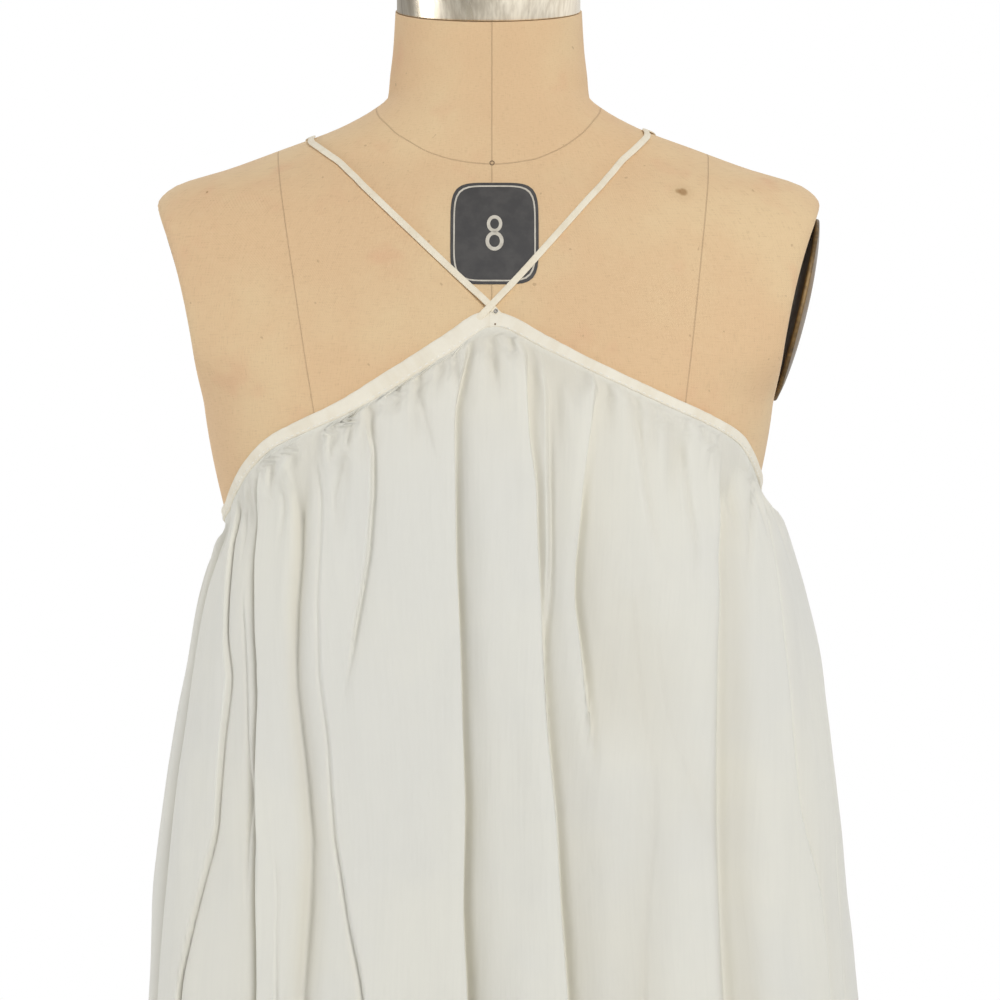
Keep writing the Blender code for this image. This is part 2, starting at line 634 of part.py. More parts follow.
def build():
    for item in list(bpy.data.objects):
        bpy.data.objects.remove(item)
    form_torso()
    neck_cap()
    for side in PLATES:
        arm_plate(side)
    stand_base()
    stand_hub()
    stand_pole()
    centre_gap = math.degrees(0.5 * SEAM_GAP / form_radius(0.0, NECK_EDGE_PEAK))
    side_gap = math.degrees(0.5 * SEAM_GAP / form_radius(math.pi / 2, NECK_EDGE_SIDE))
    binding("binding_front_left", -90 + side_gap, CROSSING_ANGLE - centre_gap, 26)
    binding("binding_front_right", CROSSING_ANGLE + centre_gap, 90 - side_gap, 26)
    binding("binding_back", 90 + side_gap, 270 - side_gap, 30)
    strap("strap_left", STRAP_LEFT_ROUTE)
    strap("strap_right", STRAP_RIGHT_ROUTE)
    dress_panel("dress_front", FRONT_ROWS, FRONT_FOLDS, FRONT_GATHERS, front_angle)
    dress_panel("dress_back", BACK_ROWS, BACK_FOLDS, BACK_GATHERS, back_angle)


build()
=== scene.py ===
import math

import bmesh
import bpy
import numpy as np
from mathutils import Matrix, Vector


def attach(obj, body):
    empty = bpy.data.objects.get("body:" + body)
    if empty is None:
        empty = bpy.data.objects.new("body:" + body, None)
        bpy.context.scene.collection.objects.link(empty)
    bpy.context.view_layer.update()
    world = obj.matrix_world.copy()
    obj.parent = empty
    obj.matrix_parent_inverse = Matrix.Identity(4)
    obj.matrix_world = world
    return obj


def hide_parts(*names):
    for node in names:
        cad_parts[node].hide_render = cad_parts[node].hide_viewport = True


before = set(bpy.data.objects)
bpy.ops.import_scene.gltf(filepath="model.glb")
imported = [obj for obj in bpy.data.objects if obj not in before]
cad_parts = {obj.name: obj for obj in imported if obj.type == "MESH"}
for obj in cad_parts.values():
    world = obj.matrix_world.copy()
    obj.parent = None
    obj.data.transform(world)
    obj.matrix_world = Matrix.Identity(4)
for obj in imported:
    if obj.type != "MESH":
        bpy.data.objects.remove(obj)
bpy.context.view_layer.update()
mm = 0.001
print("frame loaded:", len(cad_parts), "nodes")


# Shape of the form and of the loose dress, the same as the solids'

formShape = {
    "height": [0.764, 0.772, 0.815, 0.880, 0.945, 1.015, 1.080, 1.130, 1.180, 1.215, 1.222, 1.250,
               1.285, 1.320, 1.339, 1.346, 1.356, 1.367, 1.379, 1.391, 1.397, 1.410, 1.425, 1.447],
    "half": [0.150, 0.160, 0.168, 0.162, 0.139, 0.119, 0.130, 0.143, 0.1555, 0.1632, 0.1650, 0.186,
             0.198, 0.200, 0.1885, 0.180, 0.149, 0.119, 0.0865, 0.0645, 0.0578, 0.0565, 0.0548,
             0.0535],
    "front": [0.088, 0.098, 0.106, 0.104, 0.097, 0.088, 0.097, 0.111, 0.124, 0.120, 0.119, 0.109,
              0.094, 0.078, 0.068, 0.064, 0.060, 0.058, 0.056, 0.054, 0.0535, 0.0530, 0.0530, 0.0540],
    "back": [0.108, 0.118, 0.124, 0.115, 0.098, 0.082, 0.088, 0.095, 0.101, 0.105, 0.105, 0.105,
             0.102, 0.094, 0.085, 0.082, 0.078, 0.075, 0.071, 0.066, 0.062, 0.0585, 0.0550, 0.0510],
    "power": [2.20, 2.20, 2.20, 2.20, 2.15, 2.10, 2.10, 2.15, 2.20, 2.25, 2.25, 2.30,
              2.30, 2.30, 2.20, 2.00, 1.85, 1.80, 1.85, 1.95, 2.00, 2.00, 2.00, 2.00],
}
hangShape = {
    "height": [0.430, 0.640, 0.880, 0.937, 1.006, 1.075, 1.109, 1.132, 1.155, 1.1665, 1.190, 1.240,
               1.300],
    "left": [0.2300, 0.2150, 0.1926, 0.1895, 0.1818, 0.1696, 0.1635, 0.1570, 0.1498, 0.1475, 0.1470,
             0.1350, 0.1100],
    "right": [0.2470, 0.2315, 0.2095, 0.2040, 0.1970, 0.1868, 0.1795, 0.1730, 0.1655, 0.1605,
              0.1530, 0.1350, 0.1100],
    "front": [0.198, 0.184, 0.163, 0.157, 0.149, 0.141, 0.137, 0.134, 0.131, 0.129, 0.124, 0.103,
              0.068],
    "back": [0.190, 0.173, 0.149, 0.141, 0.130, 0.119, 0.113, 0.109, 0.105, 0.102, 0.098, 0.088,
             0.068],
    "power": 2.10,
    "blend": 3 * mm,
    "clear": 0.5 * mm,
}
neckEdge = {
    "angle": [-180, -130, -105, -90, -75, -67, -60.4, -52.4, -44.9, -35.8, -23.6, -11.6, 0, 3.4,
              16.6, 28.3, 43.7, 53.4, 63.3, 68.3, 75.1, 90, 105, 130, 180],
    "height": [1.150, 1.152, 1.155, 1.159, 1.1654, 1.1765, 1.1885, 1.2016, 1.2097, 1.2197, 1.2373,
               1.2547, 1.268, 1.2672, 1.2537, 1.2398, 1.2227, 1.2133, 1.2029, 1.1948, 1.1850,
               1.1730, 1.1640, 1.1560, 1.1500],
    "band": [6.0, 6.0, 6.0, 6.0, 6.0, 6.3, 6.8, 7.2, 7.6, 8.6, 10.0, 10.0, 9.0, 8.0, 7.0, 6.2, 6.0,
             6.0, 6.0, 6.0, 6.0, 6.0, 6.0, 6.0, 6.0],
}


def hermite(places, values, at):
    # a smooth curve through the values that never overshoots them
    places, values = np.array(places, float), np.array(values, float)
    steps = np.diff(values) / np.diff(places)
    product, total = steps[:-1] * steps[1:], steps[:-1] + steps[1:]
    inner = np.where(product > 0, 2 * product / np.where(total == 0, 1, total), 0)
    slopes = np.concatenate([steps[:1], inner, steps[-1:]])
    at = np.clip(at, places[0], places[-1])
    low = np.clip(np.searchsorted(places, at, side="right") - 1, 0, len(places) - 2)
    span = places[low + 1] - places[low]
    t = (at - places[low]) / span
    return ((2 * t**3 - 3 * t**2 + 1) * values[low] + (t**3 - 2 * t**2 + t) * span * slopes[low]
            + (3 * t**2 - 2 * t**3) * values[low + 1] + (t**3 - t**2) * span * slopes[low + 1])


def ease(t):
    t = np.clip(t, 0.0, 1.0)
    return t * t * (3 - 2 * t)


def ovalRadius(angle, half, depth, power):
    return ((np.abs(np.sin(angle)) / half)**power + (np.abs(np.cos(angle)) / depth)**power)**(-1 / power)


def formRadius(angle, height):
    read = {key: hermite(formShape["height"], formShape[key], height)
            for key in ("half", "front", "back", "power")}
    depth = np.where(np.cos(angle) > 0, read["front"], read["back"])
    return ovalRadius(angle, read["half"], depth, read["power"])


def hangRadius(angle, height):
    read = {key: hermite(hangShape["height"], hangShape[key], height)
            for key in ("left", "right", "front", "back")}
    half = np.where(np.sin(angle) > 0, read["right"], read["left"])
    depth = np.where(np.cos(angle) > 0, read["front"], read["back"])
    return ovalRadius(angle, half, depth, hangShape["power"])


def drapeRadius(angle, height):
    onForm = formRadius(angle, height) + hangShape["clear"]
    free = hangRadius(angle, height)
    return 0.5 * (onForm + free + np.sqrt((onForm - free)**2 + hangShape["blend"]**2))


def polar(angle, height, radius):
    return np.stack([radius * np.sin(angle), -radius * np.cos(angle), height + 0 * radius], axis=-1)


def wrapDegrees(angle):
    return (np.degrees(angle) + 180) % 360 - 180


def neckTop(angle):
    return hermite(neckEdge["angle"], neckEdge["height"], wrapDegrees(angle))


def neckBand(angle):
    return hermite(neckEdge["angle"], neckEdge["band"], wrapDegrees(angle)) * mm


# Making objects

def mappedGrid(columns, rows, place, flat, closed=False):
    # a grid whose points are put in place; flat gives the cloth's own coordinates in metres,
    # and a closed one has its meeting edges joined
    bm = bmesh.new()
    uvMap = bm.loops.layers.uv.new("cloth")
    bmesh.ops.create_grid(bm, x_segments=columns, y_segments=rows, size=0.5)
    bm.verts.index_update()
    spots = np.array([v.co[:2] for v in bm.verts]) + 0.5
    points = place(spots[:, 0], spots[:, 1])
    uv = np.stack(flat(spots[:, 0], spots[:, 1]), axis=-1)
    for face in bm.faces:
        for loop in face.loops:
            loop[uvMap].uv = uv[loop.vert.index]
    for vert, point in zip(bm.verts, points):
        vert.co = point
    if closed:
        bmesh.ops.remove_doubles(bm, verts=bm.verts, dist=1e-6)
    return bm


def closeEnds(bm):
    bmesh.ops.holes_fill(bm, edges=[e for e in bm.edges if e.is_boundary], sides=0)
    bmesh.ops.recalc_face_normals(bm, faces=bm.faces)


def thicken(bm, thick):
    # a second layer behind the first, joined to it round the open edges
    bm.normal_update()
    rim = [e for e in bm.edges if e.is_boundary]
    copied = bmesh.ops.duplicate(bm, geom=bm.verts[:] + bm.edges[:] + bm.faces[:])
    for vert in [item for item in copied["geom"] if isinstance(item, bmesh.types.BMVert)]:
        vert.co -= vert.normal * thick
    inner = [item for item in copied["geom"] if isinstance(item, bmesh.types.BMFace)]
    bmesh.ops.reverse_faces(bm, faces=inner)
    bmesh.ops.bridge_loops(bm, edges=rim + [copied["edge_map"][e] for e in rim])


def addPiece(name, bm, material, replaced=(), sharpAngle=50):
    # makes the object, gives it its body, and hides the solids that it stands for
    mesh = bpy.data.meshes.new(name)
    bm.to_mesh(mesh)
    bm.free()
    mesh.shade_smooth()
    mesh.set_sharp_from_angle(angle=math.radians(sharpAngle))
    mesh.materials.append(material)
    piece = bpy.data.objects.new(name, mesh)
    bpy.context.scene.collection.objects.link(piece)
    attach(piece, "root")
    if replaced:
        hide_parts(*replaced)
    return piece


def stripMesh(points, normals, widths, thick, around=12, squareness=0.45):
    # a flat strip with rounded edges along a line of points, closed at both ends
    count = len(points)
    along = np.gradient(points, axis=0)
    along /= np.linalg.norm(along, axis=1)[:, None]
    side = np.cross(along, normals)
    side /= np.linalg.norm(side, axis=1)[:, None]
    out = np.cross(side, along)
    length = np.concatenate([[0], np.cumsum(np.linalg.norm(np.diff(points, axis=0), axis=1))])

    def place(u, v):
        k = np.rint(u * (count - 1)).astype(int)
        turn = 2 * np.pi * np.rint(v * around) / around
        across = np.sign(np.cos(turn)) * np.abs(np.cos(turn))**squareness
        above = np.sign(np.sin(turn)) * np.abs(np.sin(turn))**0.7
        return (points[k] + side[k] * (0.5 * widths[k] * across)[:, None]
                + out[k] * (0.5 * thick + 0.5 * thick * above)[:, None])

    def flat(u, v):
        k = np.rint(u * (count - 1)).astype(int)
        return length[k], v * 2 * widths[k]

    bm = mappedGrid(count - 1, around, place, flat, closed=True)
    closeEnds(bm)
    return bm


# Materials

def newMaterial(name, color, roughness, metallic=0.0):
    material = bpy.data.materials.new(name)
    material.use_nodes = True
    shader = material.node_tree.nodes["Principled BSDF"]
    shader.inputs["Base Color"].default_value = (*color, 1)
    shader.inputs["Roughness"].default_value = roughness
    shader.inputs["Metallic"].default_value = metallic
    return material, material.node_tree, shader


def addNode(tree, kind, values=None, **settings):
    # values go to inputs by name or number: a socket is linked, anything else is set
    node = tree.nodes.new(kind)
    for key, value in settings.items():
        setattr(node, key, value)
    for key, value in (values or {}).items():
        if isinstance(value, bpy.types.NodeSocket):
            tree.links.new(value, node.inputs[key])
        else:
            node.inputs[key].default_value = value
    return node


def mathNode(tree, operation, first, second=0.0, third=0.0):
    node = addNode(tree, "ShaderNodeMath", {0: first, 1: second, 2: third}, operation=operation)
    return node.outputs[0]


def mixColor(tree, amount, first, second, blendType="MIX"):
    node = addNode(tree, "ShaderNodeMix", {0: amount, 6: first, 7: second}, data_type="RGBA",
                   blend_type=blendType)
    return node.outputs[2]


def noise(tree, place, scale, stretch=(1, 1, 1), detail=3.0, roughness=0.55):
    mapped = addNode(tree, "ShaderNodeMapping", {"Vector": place, "Scale": stretch}).outputs[0]
    node = addNode(tree, "ShaderNodeTexNoise", {"Vector": mapped, "Scale": scale, "Detail": detail,
                                                "Roughness": roughness})
    return node.outputs["Fac"]


def ramp(tree, value, low, high, outLow=0.0, outHigh=1.0):
    node = addNode(tree, "ShaderNodeMapRange", {"Value": value, "From Min": low, "From Max": high,
                                                "To Min": outLow, "To Max": outHigh},
                   interpolation_type="SMOOTHSTEP")
    return node.outputs[0]


def bump(tree, height, distance, strength=1.0, after=None):
    values = {"Height": height, "Distance": distance, "Strength": strength}
    if after is not None:
        values["Normal"] = after
    return addNode(tree, "ShaderNodeBump", values).outputs[0]


def weaveHeight(tree, place, pitch):
    # plain weave: warp and weft threads that pass over each other in turn
    split = addNode(tree, "ShaderNodeSeparateXYZ", {0: place})
    turns = [mathNode(tree, "MULTIPLY", split.outputs[k], math.pi / pitch) for k in (0, 1)]
    warp, weft = (mathNode(tree, "SINE", t) for t in turns)
    return mathNode(tree, "MULTIPLY", warp, weft)


def nearSpot(tree, place, spot, near, far):
    # 1 at a place on the object, falling to 0
    gap = addNode(tree, "ShaderNodeVectorMath", {0: place, 1: spot}, operation="DISTANCE")
    return ramp(tree, gap.outputs["Value"], near, far, 1.0, 0.0)


cottonFinish = {
    "color": (0.780, 0.768, 0.694),
    "shade": (0.750, 0.742, 0.686),
    "warm": (0.800, 0.758, 0.650),
    "deep": (0.86, 0.83, 0.78),  # painted shade: multiplies the colour down in a fold
    "foldShadeShare": 0.55,
    "slub": (0.71, 0.70, 0.64),
    "slubShare": 0.18,
    "warmFrom": 1.14,  # the cloth is warmer in colour from this height up to the next
    "warmTo": 1.27,
    "roughness": 0.80,
    "thread": 0.32 * mm,
    "wrinkle": 2.4 * mm,
    "stain": (0.70, 0.62, 0.42),
    "spots": [((-0.078, -0.150, 1.029), 2 * mm, 9 * mm, 0.30),  # place, full and faded reach, strength
              ((0.05, -0.165, 0.86), 3 * mm, 12 * mm, 0.15)],
}


def makeCotton():
    finish = cottonFinish
    material, tree, shader = newMaterial("ivoryCotton", finish["color"], finish["roughness"])
    uv = addNode(tree, "ShaderNodeUVMap", uv_map="cloth").outputs[0]
    place = addNode(tree, "ShaderNodeTexCoord").outputs["Object"]
    height = addNode(tree, "ShaderNodeSeparateXYZ", {0: place}).outputs[2]
    cloudy = ramp(tree, noise(tree, place, 9, detail=4), 0.35, 0.65)
    color = mixColor(tree, cloudy, (*finish["color"], 1), (*finish["shade"], 1))
    warmth = ramp(tree, height, finish["warmFrom"], finish["warmTo"], 0.0, 0.45)
    color = mixColor(tree, warmth, color, (*finish["warm"], 1))
    slub = ramp(tree, noise(tree, uv, 260, (1, 0.06, 1), detail=2), 0.42, 0.70)
    slub = mathNode(tree, "MULTIPLY", slub, finish["slubShare"])
    color = mixColor(tree, slub, color, (*finish["slub"], 1))
    # painted shade: the colour is multiplied darker where the cloth lies deep in a crease
    foldShade = addNode(tree, "ShaderNodeAttribute", attribute_name="foldShade").outputs["Fac"]
    foldShade = mathNode(tree, "MULTIPLY", foldShade, finish["foldShadeShare"])
    color = mixColor(tree, foldShade, color, (*finish["deep"], 1), "MULTIPLY")
    for spot, near, far, amount in finish["spots"]:
        stain = mathNode(tree, "MULTIPLY", nearSpot(tree, place, spot, near, far), amount)
        color = mixColor(tree, stain, color, (*finish["stain"], 1))
    tree.links.new(color, shader.inputs["Base Color"])
    wrinkles = noise(tree, uv, 22, (1, 0.35, 1), detail=5, roughness=0.5)
    bent = bump(tree, wrinkles, finish["wrinkle"], 0.55)
    bent = bump(tree, noise(tree, uv, 260, (1, 0.10, 1), detail=2), 0.12 * mm, 0.5, bent)
    bent = bump(tree, weaveHeight(tree, uv, finish["thread"]), 0.05 * mm, 0.5, bent)
    tree.links.new(bent, shader.inputs["Normal"])
    shader.inputs["Sheen Weight"].default_value = 0.20
    shader.inputs["Sheen Roughness"].default_value = 0.45
    shader.inputs["Specular IOR Level"].default_value = 0.25
    return material


creamFinishes = {
    "creamBias": {"color": (0.850, 0.800, 0.680), "shade": (0.800, 0.735, 0.600), "roughness": 0.72},
    "creamStrap": {"color": (0.850, 0.780, 0.630), "shade": (0.800, 0.715, 0.555), "roughness": 0.66},
}


def makeCream(name):
    finish = creamFinishes[name]
    material, tree, shader = newMaterial(name, finish["color"], finish["roughness"])
    uv = addNode(tree, "ShaderNodeUVMap", uv_map="cloth").outputs[0]
    cloudy = ramp(tree, noise(tree, uv, 90, detail=3), 0.38, 0.68)
    color = mixColor(tree, cloudy, (*finish["color"], 1), (*finish["shade"], 1))
    tree.links.new(color, shader.inputs["Base Color"])
    turned = addNode(tree, "ShaderNodeMapping", {"Vector": uv, "Rotation": (0, 0, math.radians(45))})
    bent = bump(tree, noise(tree, uv, 160, (1, 0.6, 1), detail=3), 0.35 * mm, 0.5)
    bent = bump(tree, weaveHeight(tree, turned.outputs[0], 0.34 * mm), 0.06 * mm, 0.5, bent)
    tree.links.new(bent, shader.inputs["Normal"])
    shader.inputs["Sheen Weight"].default_value = 0.15
    shader.inputs["Specular IOR Level"].default_value = 0.3
    return material


linenFinish = {
    "color": (0.745, 0.520, 0.305),
    "yellow": (0.765, 0.570, 0.340),
    "pink": (0.735, 0.480, 0.285),
    "dark": (0.46, 0.31, 0.18),
    "pale": (0.80, 0.60, 0.40),
    "stain": (0.33, 0.185, 0.075),
    "roughness": 0.85,
    "thread": 0.62 * mm,
    "seamWide": 0.50 * mm,
    "stains": [((0.1079, -0.0593, 1.3372), 1.5 * mm, 3.4 * mm, 0.75),
               ((0.1052, -0.0600, 1.3380), 0.8 * mm, 2.4 * mm, 0.6),
               ((0.1079, -0.0593, 1.3372), 3.0 * mm, 9.0 * mm, 0.12),
               ((-0.1577, -0.0407, 1.3391), 0.3 * mm, 1.1 * mm, 0.8)],
}


def makeLinen():
    finish = linenFinish
    material, tree, shader = newMaterial("tanLinen", finish["color"], finish["roughness"])
    uv = addNode(tree, "ShaderNodeUVMap", uv_map="cloth").outputs[0]
    place = addNode(tree, "ShaderNodeTexCoord").outputs["Object"]
    color = mixColor(tree, ramp(tree, noise(tree, place, 14, detail=3), 0.4, 0.7),
                     (*finish["color"], 1), (*finish["yellow"], 1))
    rosy = ramp(tree, noise(tree, place, 31, detail=2), 0.55, 0.8)
    color = mixColor(tree, rosy, color, (*finish["pink"], 1))
    warp = noise(tree, uv, 1500, (1, 0.10, 1), detail=2)
    weft = noise(tree, uv, 1500, (0.10, 1, 1), detail=2)
    threads = mathNode(tree, "ADD", warp, weft)
    color = mixColor(tree, ramp(tree, threads, 1.0, 1.4, 0.0, 0.32), color, (*finish["dark"], 1))
    color = mixColor(tree, ramp(tree, threads, 0.97, 0.65, 0.0, 0.25), color, (*finish["pale"], 1))
    specks = ramp(tree, noise(tree, place, 210, detail=1), 0.76, 0.80, 0.0, 0.55)
    color = mixColor(tree, specks, color, (*finish["dark"], 1))
    for spot, near, far, amount in finish["stains"]:
        stain = mathNode(tree, "MULTIPLY", nearSpot(tree, place, spot, near, far), amount)
        color = mixColor(tree, stain, color, (*finish["stain"], 1))
    lines = None
    for seam in ("seamCentre", "seamPrincess", "seamNeck"):
        away = addNode(tree, "ShaderNodeAttribute", attribute_name=seam).outputs["Fac"]
        line = ramp(tree, mathNode(tree, "ABSOLUTE", away), 0.05 * mm, finish["seamWide"], 1.0, 0.0)
        lines = line if lines is None else mathNode(tree, "MAXIMUM", lines, line)
    color = mixColor(tree, mathNode(tree, "MULTIPLY", lines, 0.5), color, (*finish["dark"], 1))
    tree.links.new(color, shader.inputs["Base Color"])
    bent = bump(tree, lines, -0.3 * mm, 0.9)
    bent = bump(tree, threads, 0.22 * mm, 0.45, bent)
    bent = bump(tree, weaveHeight(tree, uv, finish["thread"]), 0.08 * mm, 0.5, bent)
    tree.links.new(bent, shader.inputs["Normal"])
    shader.inputs["Sheen Weight"].default_value = 0.08
    shader.inputs["Specular IOR Level"].default_value = 0.2
    return material


def makeMetal(name, color, dark, roughness, streak, metallic=1.0, scratch=0.15 * mm):
    # metal with fine streaks; streak stretches them along one axis
    material, tree, shader = newMaterial(name, color, roughness, metallic)
    place = addNode(tree, "ShaderNodeTexCoord").outputs["Object"]
    fine = noise(tree, place, 420, streak, detail=3)
    broad = noise(tree, place, 26, streak, detail=3)
    tone = mathNode(tree, "MULTIPLY", mathNode(tree, "ADD", fine, broad), 0.5)
    color = mixColor(tree, ramp(tree, tone, 0.38, 0.64), (*dark, 1), (*color, 1))
    tree.links.new(color, shader.inputs["Base Color"])
    dull = ramp(tree, broad, 0.3, 0.7, roughness - 0.08, roughness + 0.10)
    tree.links.new(dull, shader.inputs["Roughness"])
    tree.links.new(bump(tree, fine, scratch, 0.35), shader.inputs["Normal"])
    return material


def makePlain(name, color, shade, roughness, scale, grain, metallic=0.0):
    # a finish with a little variation in tone and a fine grain
    material, tree, shader = newMaterial(name, color, roughness, metallic)
    place = addNode(tree, "ShaderNodeTexCoord").outputs["Object"]
    tone = ramp(tree, noise(tree, place, scale, detail=4), 0.35, 0.7)
    fine = noise(tree, place, scale * 12, detail=2)
    tree.links.new(mixColor(tree, tone, (*color, 1), (*shade, 1)), shader.inputs["Base Color"])
    tree.links.new(bump(tree, fine, grain, 0.5), shader.inputs["Normal"])
    return material


metalFinishes = {
    "brushedCap": {"color": (0.86, 0.79, 0.66), "dark": (0.60, 0.53, 0.42), "roughness": 0.33,
                   "streak": (1, 1, 0.03)},
    "darkPlate": {"color": (0.200, 0.122, 0.040), "dark": (0.085, 0.050, 0.018), "roughness": 0.42,
                  "streak": (1, 1, 1), "metallic": 0.35},
    "satinPole": {"color": (0.36, 0.35, 0.33), "dark": (0.26, 0.25, 0.24), "roughness": 0.34,
                  "streak": (1, 1, 0.02)},
}
plainFinishes = {
    "blackIron": {"color": (0.030, 0.030, 0.031), "shade": (0.042, 0.041, 0.040), "roughness": 0.5, "scale": 40,
                  "grain": 0.25 * mm, "metallic": 0.2},
    "creamThread": {"color": (0.88, 0.86, 0.79), "shade": (0.83, 0.80, 0.72), "roughness": 0.7, "scale": 900,
                    "grain": 0.02 * mm},
    "brownThread": {"color": (0.20, 0.13, 0.07), "shade": (0.14, 0.09, 0.05), "roughness": 0.8, "scale": 900,
                    "grain": 0.02 * mm},
    "darkPaper": {"color": (0.036, 0.034, 0.034), "shade": (0.055, 0.052, 0.050), "roughness": 0.6, "scale": 120,
                  "grain": 0.05 * mm},
    "paleInk": {"color": (0.62, 0.58, 0.50), "shade": (0.50, 0.46, 0.39), "roughness": 0.7, "scale": 200,
                "grain": 0.03 * mm},
    "paleFloor": {"color": (0.80, 0.80, 0.79), "shade": (0.77, 0.77, 0.76), "roughness": 0.9, "scale": 3,
                  "grain": 0.1 * mm},
}
cotton, linen = makeCotton(), makeLinen()
creamBias, creamStrap = (makeCream(name) for name in creamFinishes)
capMetal, plateMetal, poleMetal = (makeMetal(name, **finish) for name, finish in metalFinishes.items())
baseIron, thread, darkThread, labelPaper, labelInk, floorPaint = (makePlain(name, **finish)
                                                                  for name, finish in plainFinishes.items())
print("materials made")


# Form: the linen body, cut by the arm scoops

torsoLook = {
    "columns": 330,
    "rows": 230,
    "round": 0.95,  # size of the linen, for its weave
    "long": 0.70,
    "neckBase": 1.397,
    "neckTop": 1.447,
    "neckTilt": math.radians(15.6),
    "armTop": (0.1875, 1.3300),
    "armLow": (0.1620, 1.2218),
    "armDepth": 5.0 * mm,
    "rimSoft": 2.5 * mm,
    "centreSeam": 0.0019,
    "princessLeft": ((-0.0951, 1.2205), (-0.1180, 1.3549)),
    "princessRight": ((0.1072, 1.2207), (0.1226, 1.3457)),
    "princessBack": ((0.075, 1.10), (0.105, 1.34)),
    "neckSeamAngle": [-180, -120, -75, -55.2, -46.2, -41.9, -29.6, -17.2, -6.9, 3, 21.3, 33.5, 46.2,
                      51.7, 60, 75, 120, 180],
    "neckSeamHeight": [1.405, 1.400, 1.389, 1.3781, 1.3706, 1.3675, 1.3593, 1.3549, 1.3531, 1.3525,
                       1.3549, 1.3603, 1.3700, 1.3751, 1.3816, 1.389, 1.400, 1.405],
}


def armFrame():
    # lean, radius and deepest point of the arm scoop on the +X side
    (topX, topZ), (lowX, lowZ) = torsoLook["armTop"], torsoLook["armLow"]
    lean = math.atan2(topX - lowX, topZ - lowZ)
    half, depth = 0.5 * math.hypot(topX - lowX, topZ - lowZ), torsoLook["armDepth"]
    radius = (half**2 + depth**2) / (2 * depth)
    return lean, radius, Vector((0.5 * (topX + lowX) - depth * math.cos(lean), 0,
                                 0.5 * (topZ + lowZ) + depth * math.sin(lean)))


def armPlace(way, out):
    lean, _, deepest = armFrame()
    spot = deepest + out * Vector((math.cos(lean), 0, -math.sin(lean)))
    return Vector((way * spot.x, 0, spot.z))


def scoopRadius(angle, height):
    # distance from the axis to the round scoop of the arm, where it is inside the body
    radius = armFrame()[1]
    axis = armPlace(1, radius)
    reach = np.sqrt(np.maximum(radius**2 - (height - axis.z)**2, 0))
    return (axis.x - reach) / np.maximum(np.abs(np.sin(angle)), 0.05)


def bodyRadius(angle, height):
    whole, cut, soft = formRadius(angle, height), scoopRadius(angle, height), torsoLook["rimSoft"]
    return 0.5 * (whole + cut - np.sqrt((whole - cut)**2 + soft**2))


def makeTorso():
    look = torsoLook
    foot, top = formShape["height"][0], formShape["height"][-1]

    def place(u, v):
        angle = 2 * np.pi * (u + 0.5)
        height = foot + (top - foot) * v
        points = polar(angle, height, bodyRadius(angle, height))
        tilt = ease((height - look["neckBase"]) / (look["neckTop"] - look["neckBase"]))
        points[:, 2] += tilt * math.tan(look["neckTilt"]) * points[:, 1]
        return points

    bm = mappedGrid(look["columns"], look["rows"], place, lambda u, v: (u * look["round"], v * look["long"]),
                    closed=True)
    closeEnds(bm)
    return bm


def lineAt(ends, height):
    (lowX, lowZ), (highX, highZ) = ends
    return lowX + (highX - lowX) * (height - lowZ) / (highZ - lowZ)


def markSeams(mesh):
    # signed distance of each point to the seams
    look = torsoLook
    points = np.array([v.co for v in mesh.vertices])
    x, y, z = points.T
    angle = np.degrees(np.arctan2(x, -y))
    front = np.where(x < 0, x - lineAt(look["princessLeft"], z), x - lineAt(look["princessRight"], z))
    behind = np.abs(x) - lineAt(look["princessBack"], z)
    values = {"seamCentre": np.where(y < 0, x - look["centreSeam"], x),
              "seamPrincess": np.where(y < 0, front, behind),
              "seamNeck": z - hermite(look["neckSeamAngle"], look["neckSeamHeight"], angle)}
    for name, value in values.items():
        mesh.attributes.new(name, "FLOAT", "POINT").data.foreach_set("value", value.astype(np.float32))


torso = addPiece("formBody", makeTorso(), linen, ["form_torso"], sharpAngle=35)
markSeams(torso.data)
print("form body made")


# Neck cap, arm plates and stand: turned pieces

def turned(profile, count, stretch=(1, 1), matrix=None):
    # spins a profile of (radius, height) pairs round Z, then stretches it to an oval
    bm = bmesh.new()
    bm.loops.layers.uv.new("cloth")
    verts = [bm.verts.new((radius, 0, height)) for radius, height in profile]
    edges = [bm.edges.new(pair) for pair in zip(verts, verts[1:])]
    bmesh.ops.spin(bm, geom=verts + edges, cent=(0, 0, 0), axis=(0, 0, 1), dvec=(0, 0, 0),
                   angle=2 * math.pi, steps=count, use_merge=True)
    bmesh.ops.remove_doubles(bm, verts=bm.verts, dist=1e-6)
    bmesh.ops.scale(bm, vec=(stretch[0], stretch[1], 1), verts=bm.verts)
    if matrix is not None:
        bmesh.ops.transform(bm, matrix=matrix, verts=bm.verts)
    closeEnds(bm)
    return bm


def arc(centre, radius, start, end, count):
    # points on a round corner, angles in degrees from outwards towards up
    angles = [math.radians(start + (end - start) * k / count) for k in range(count + 1)]
    return [(centre[0] + radius * math.cos(a), centre[1] + radius * math.sin(a)) for a in angles]


capLook = {"halfWidth": 0.0526, "halfDepth": 0.0516, "centreY": -0.0015, "height": 0.036, "seat": 1.447,
           "lip": 0.5 * mm, "edge": 3 * mm, "gap": 0.3 * mm,
           "crown": [(0.8, 0.4), (0.5, 0.9), (0.2, 1.1), (0, 1.2)]}  # share of the width and rise in mm


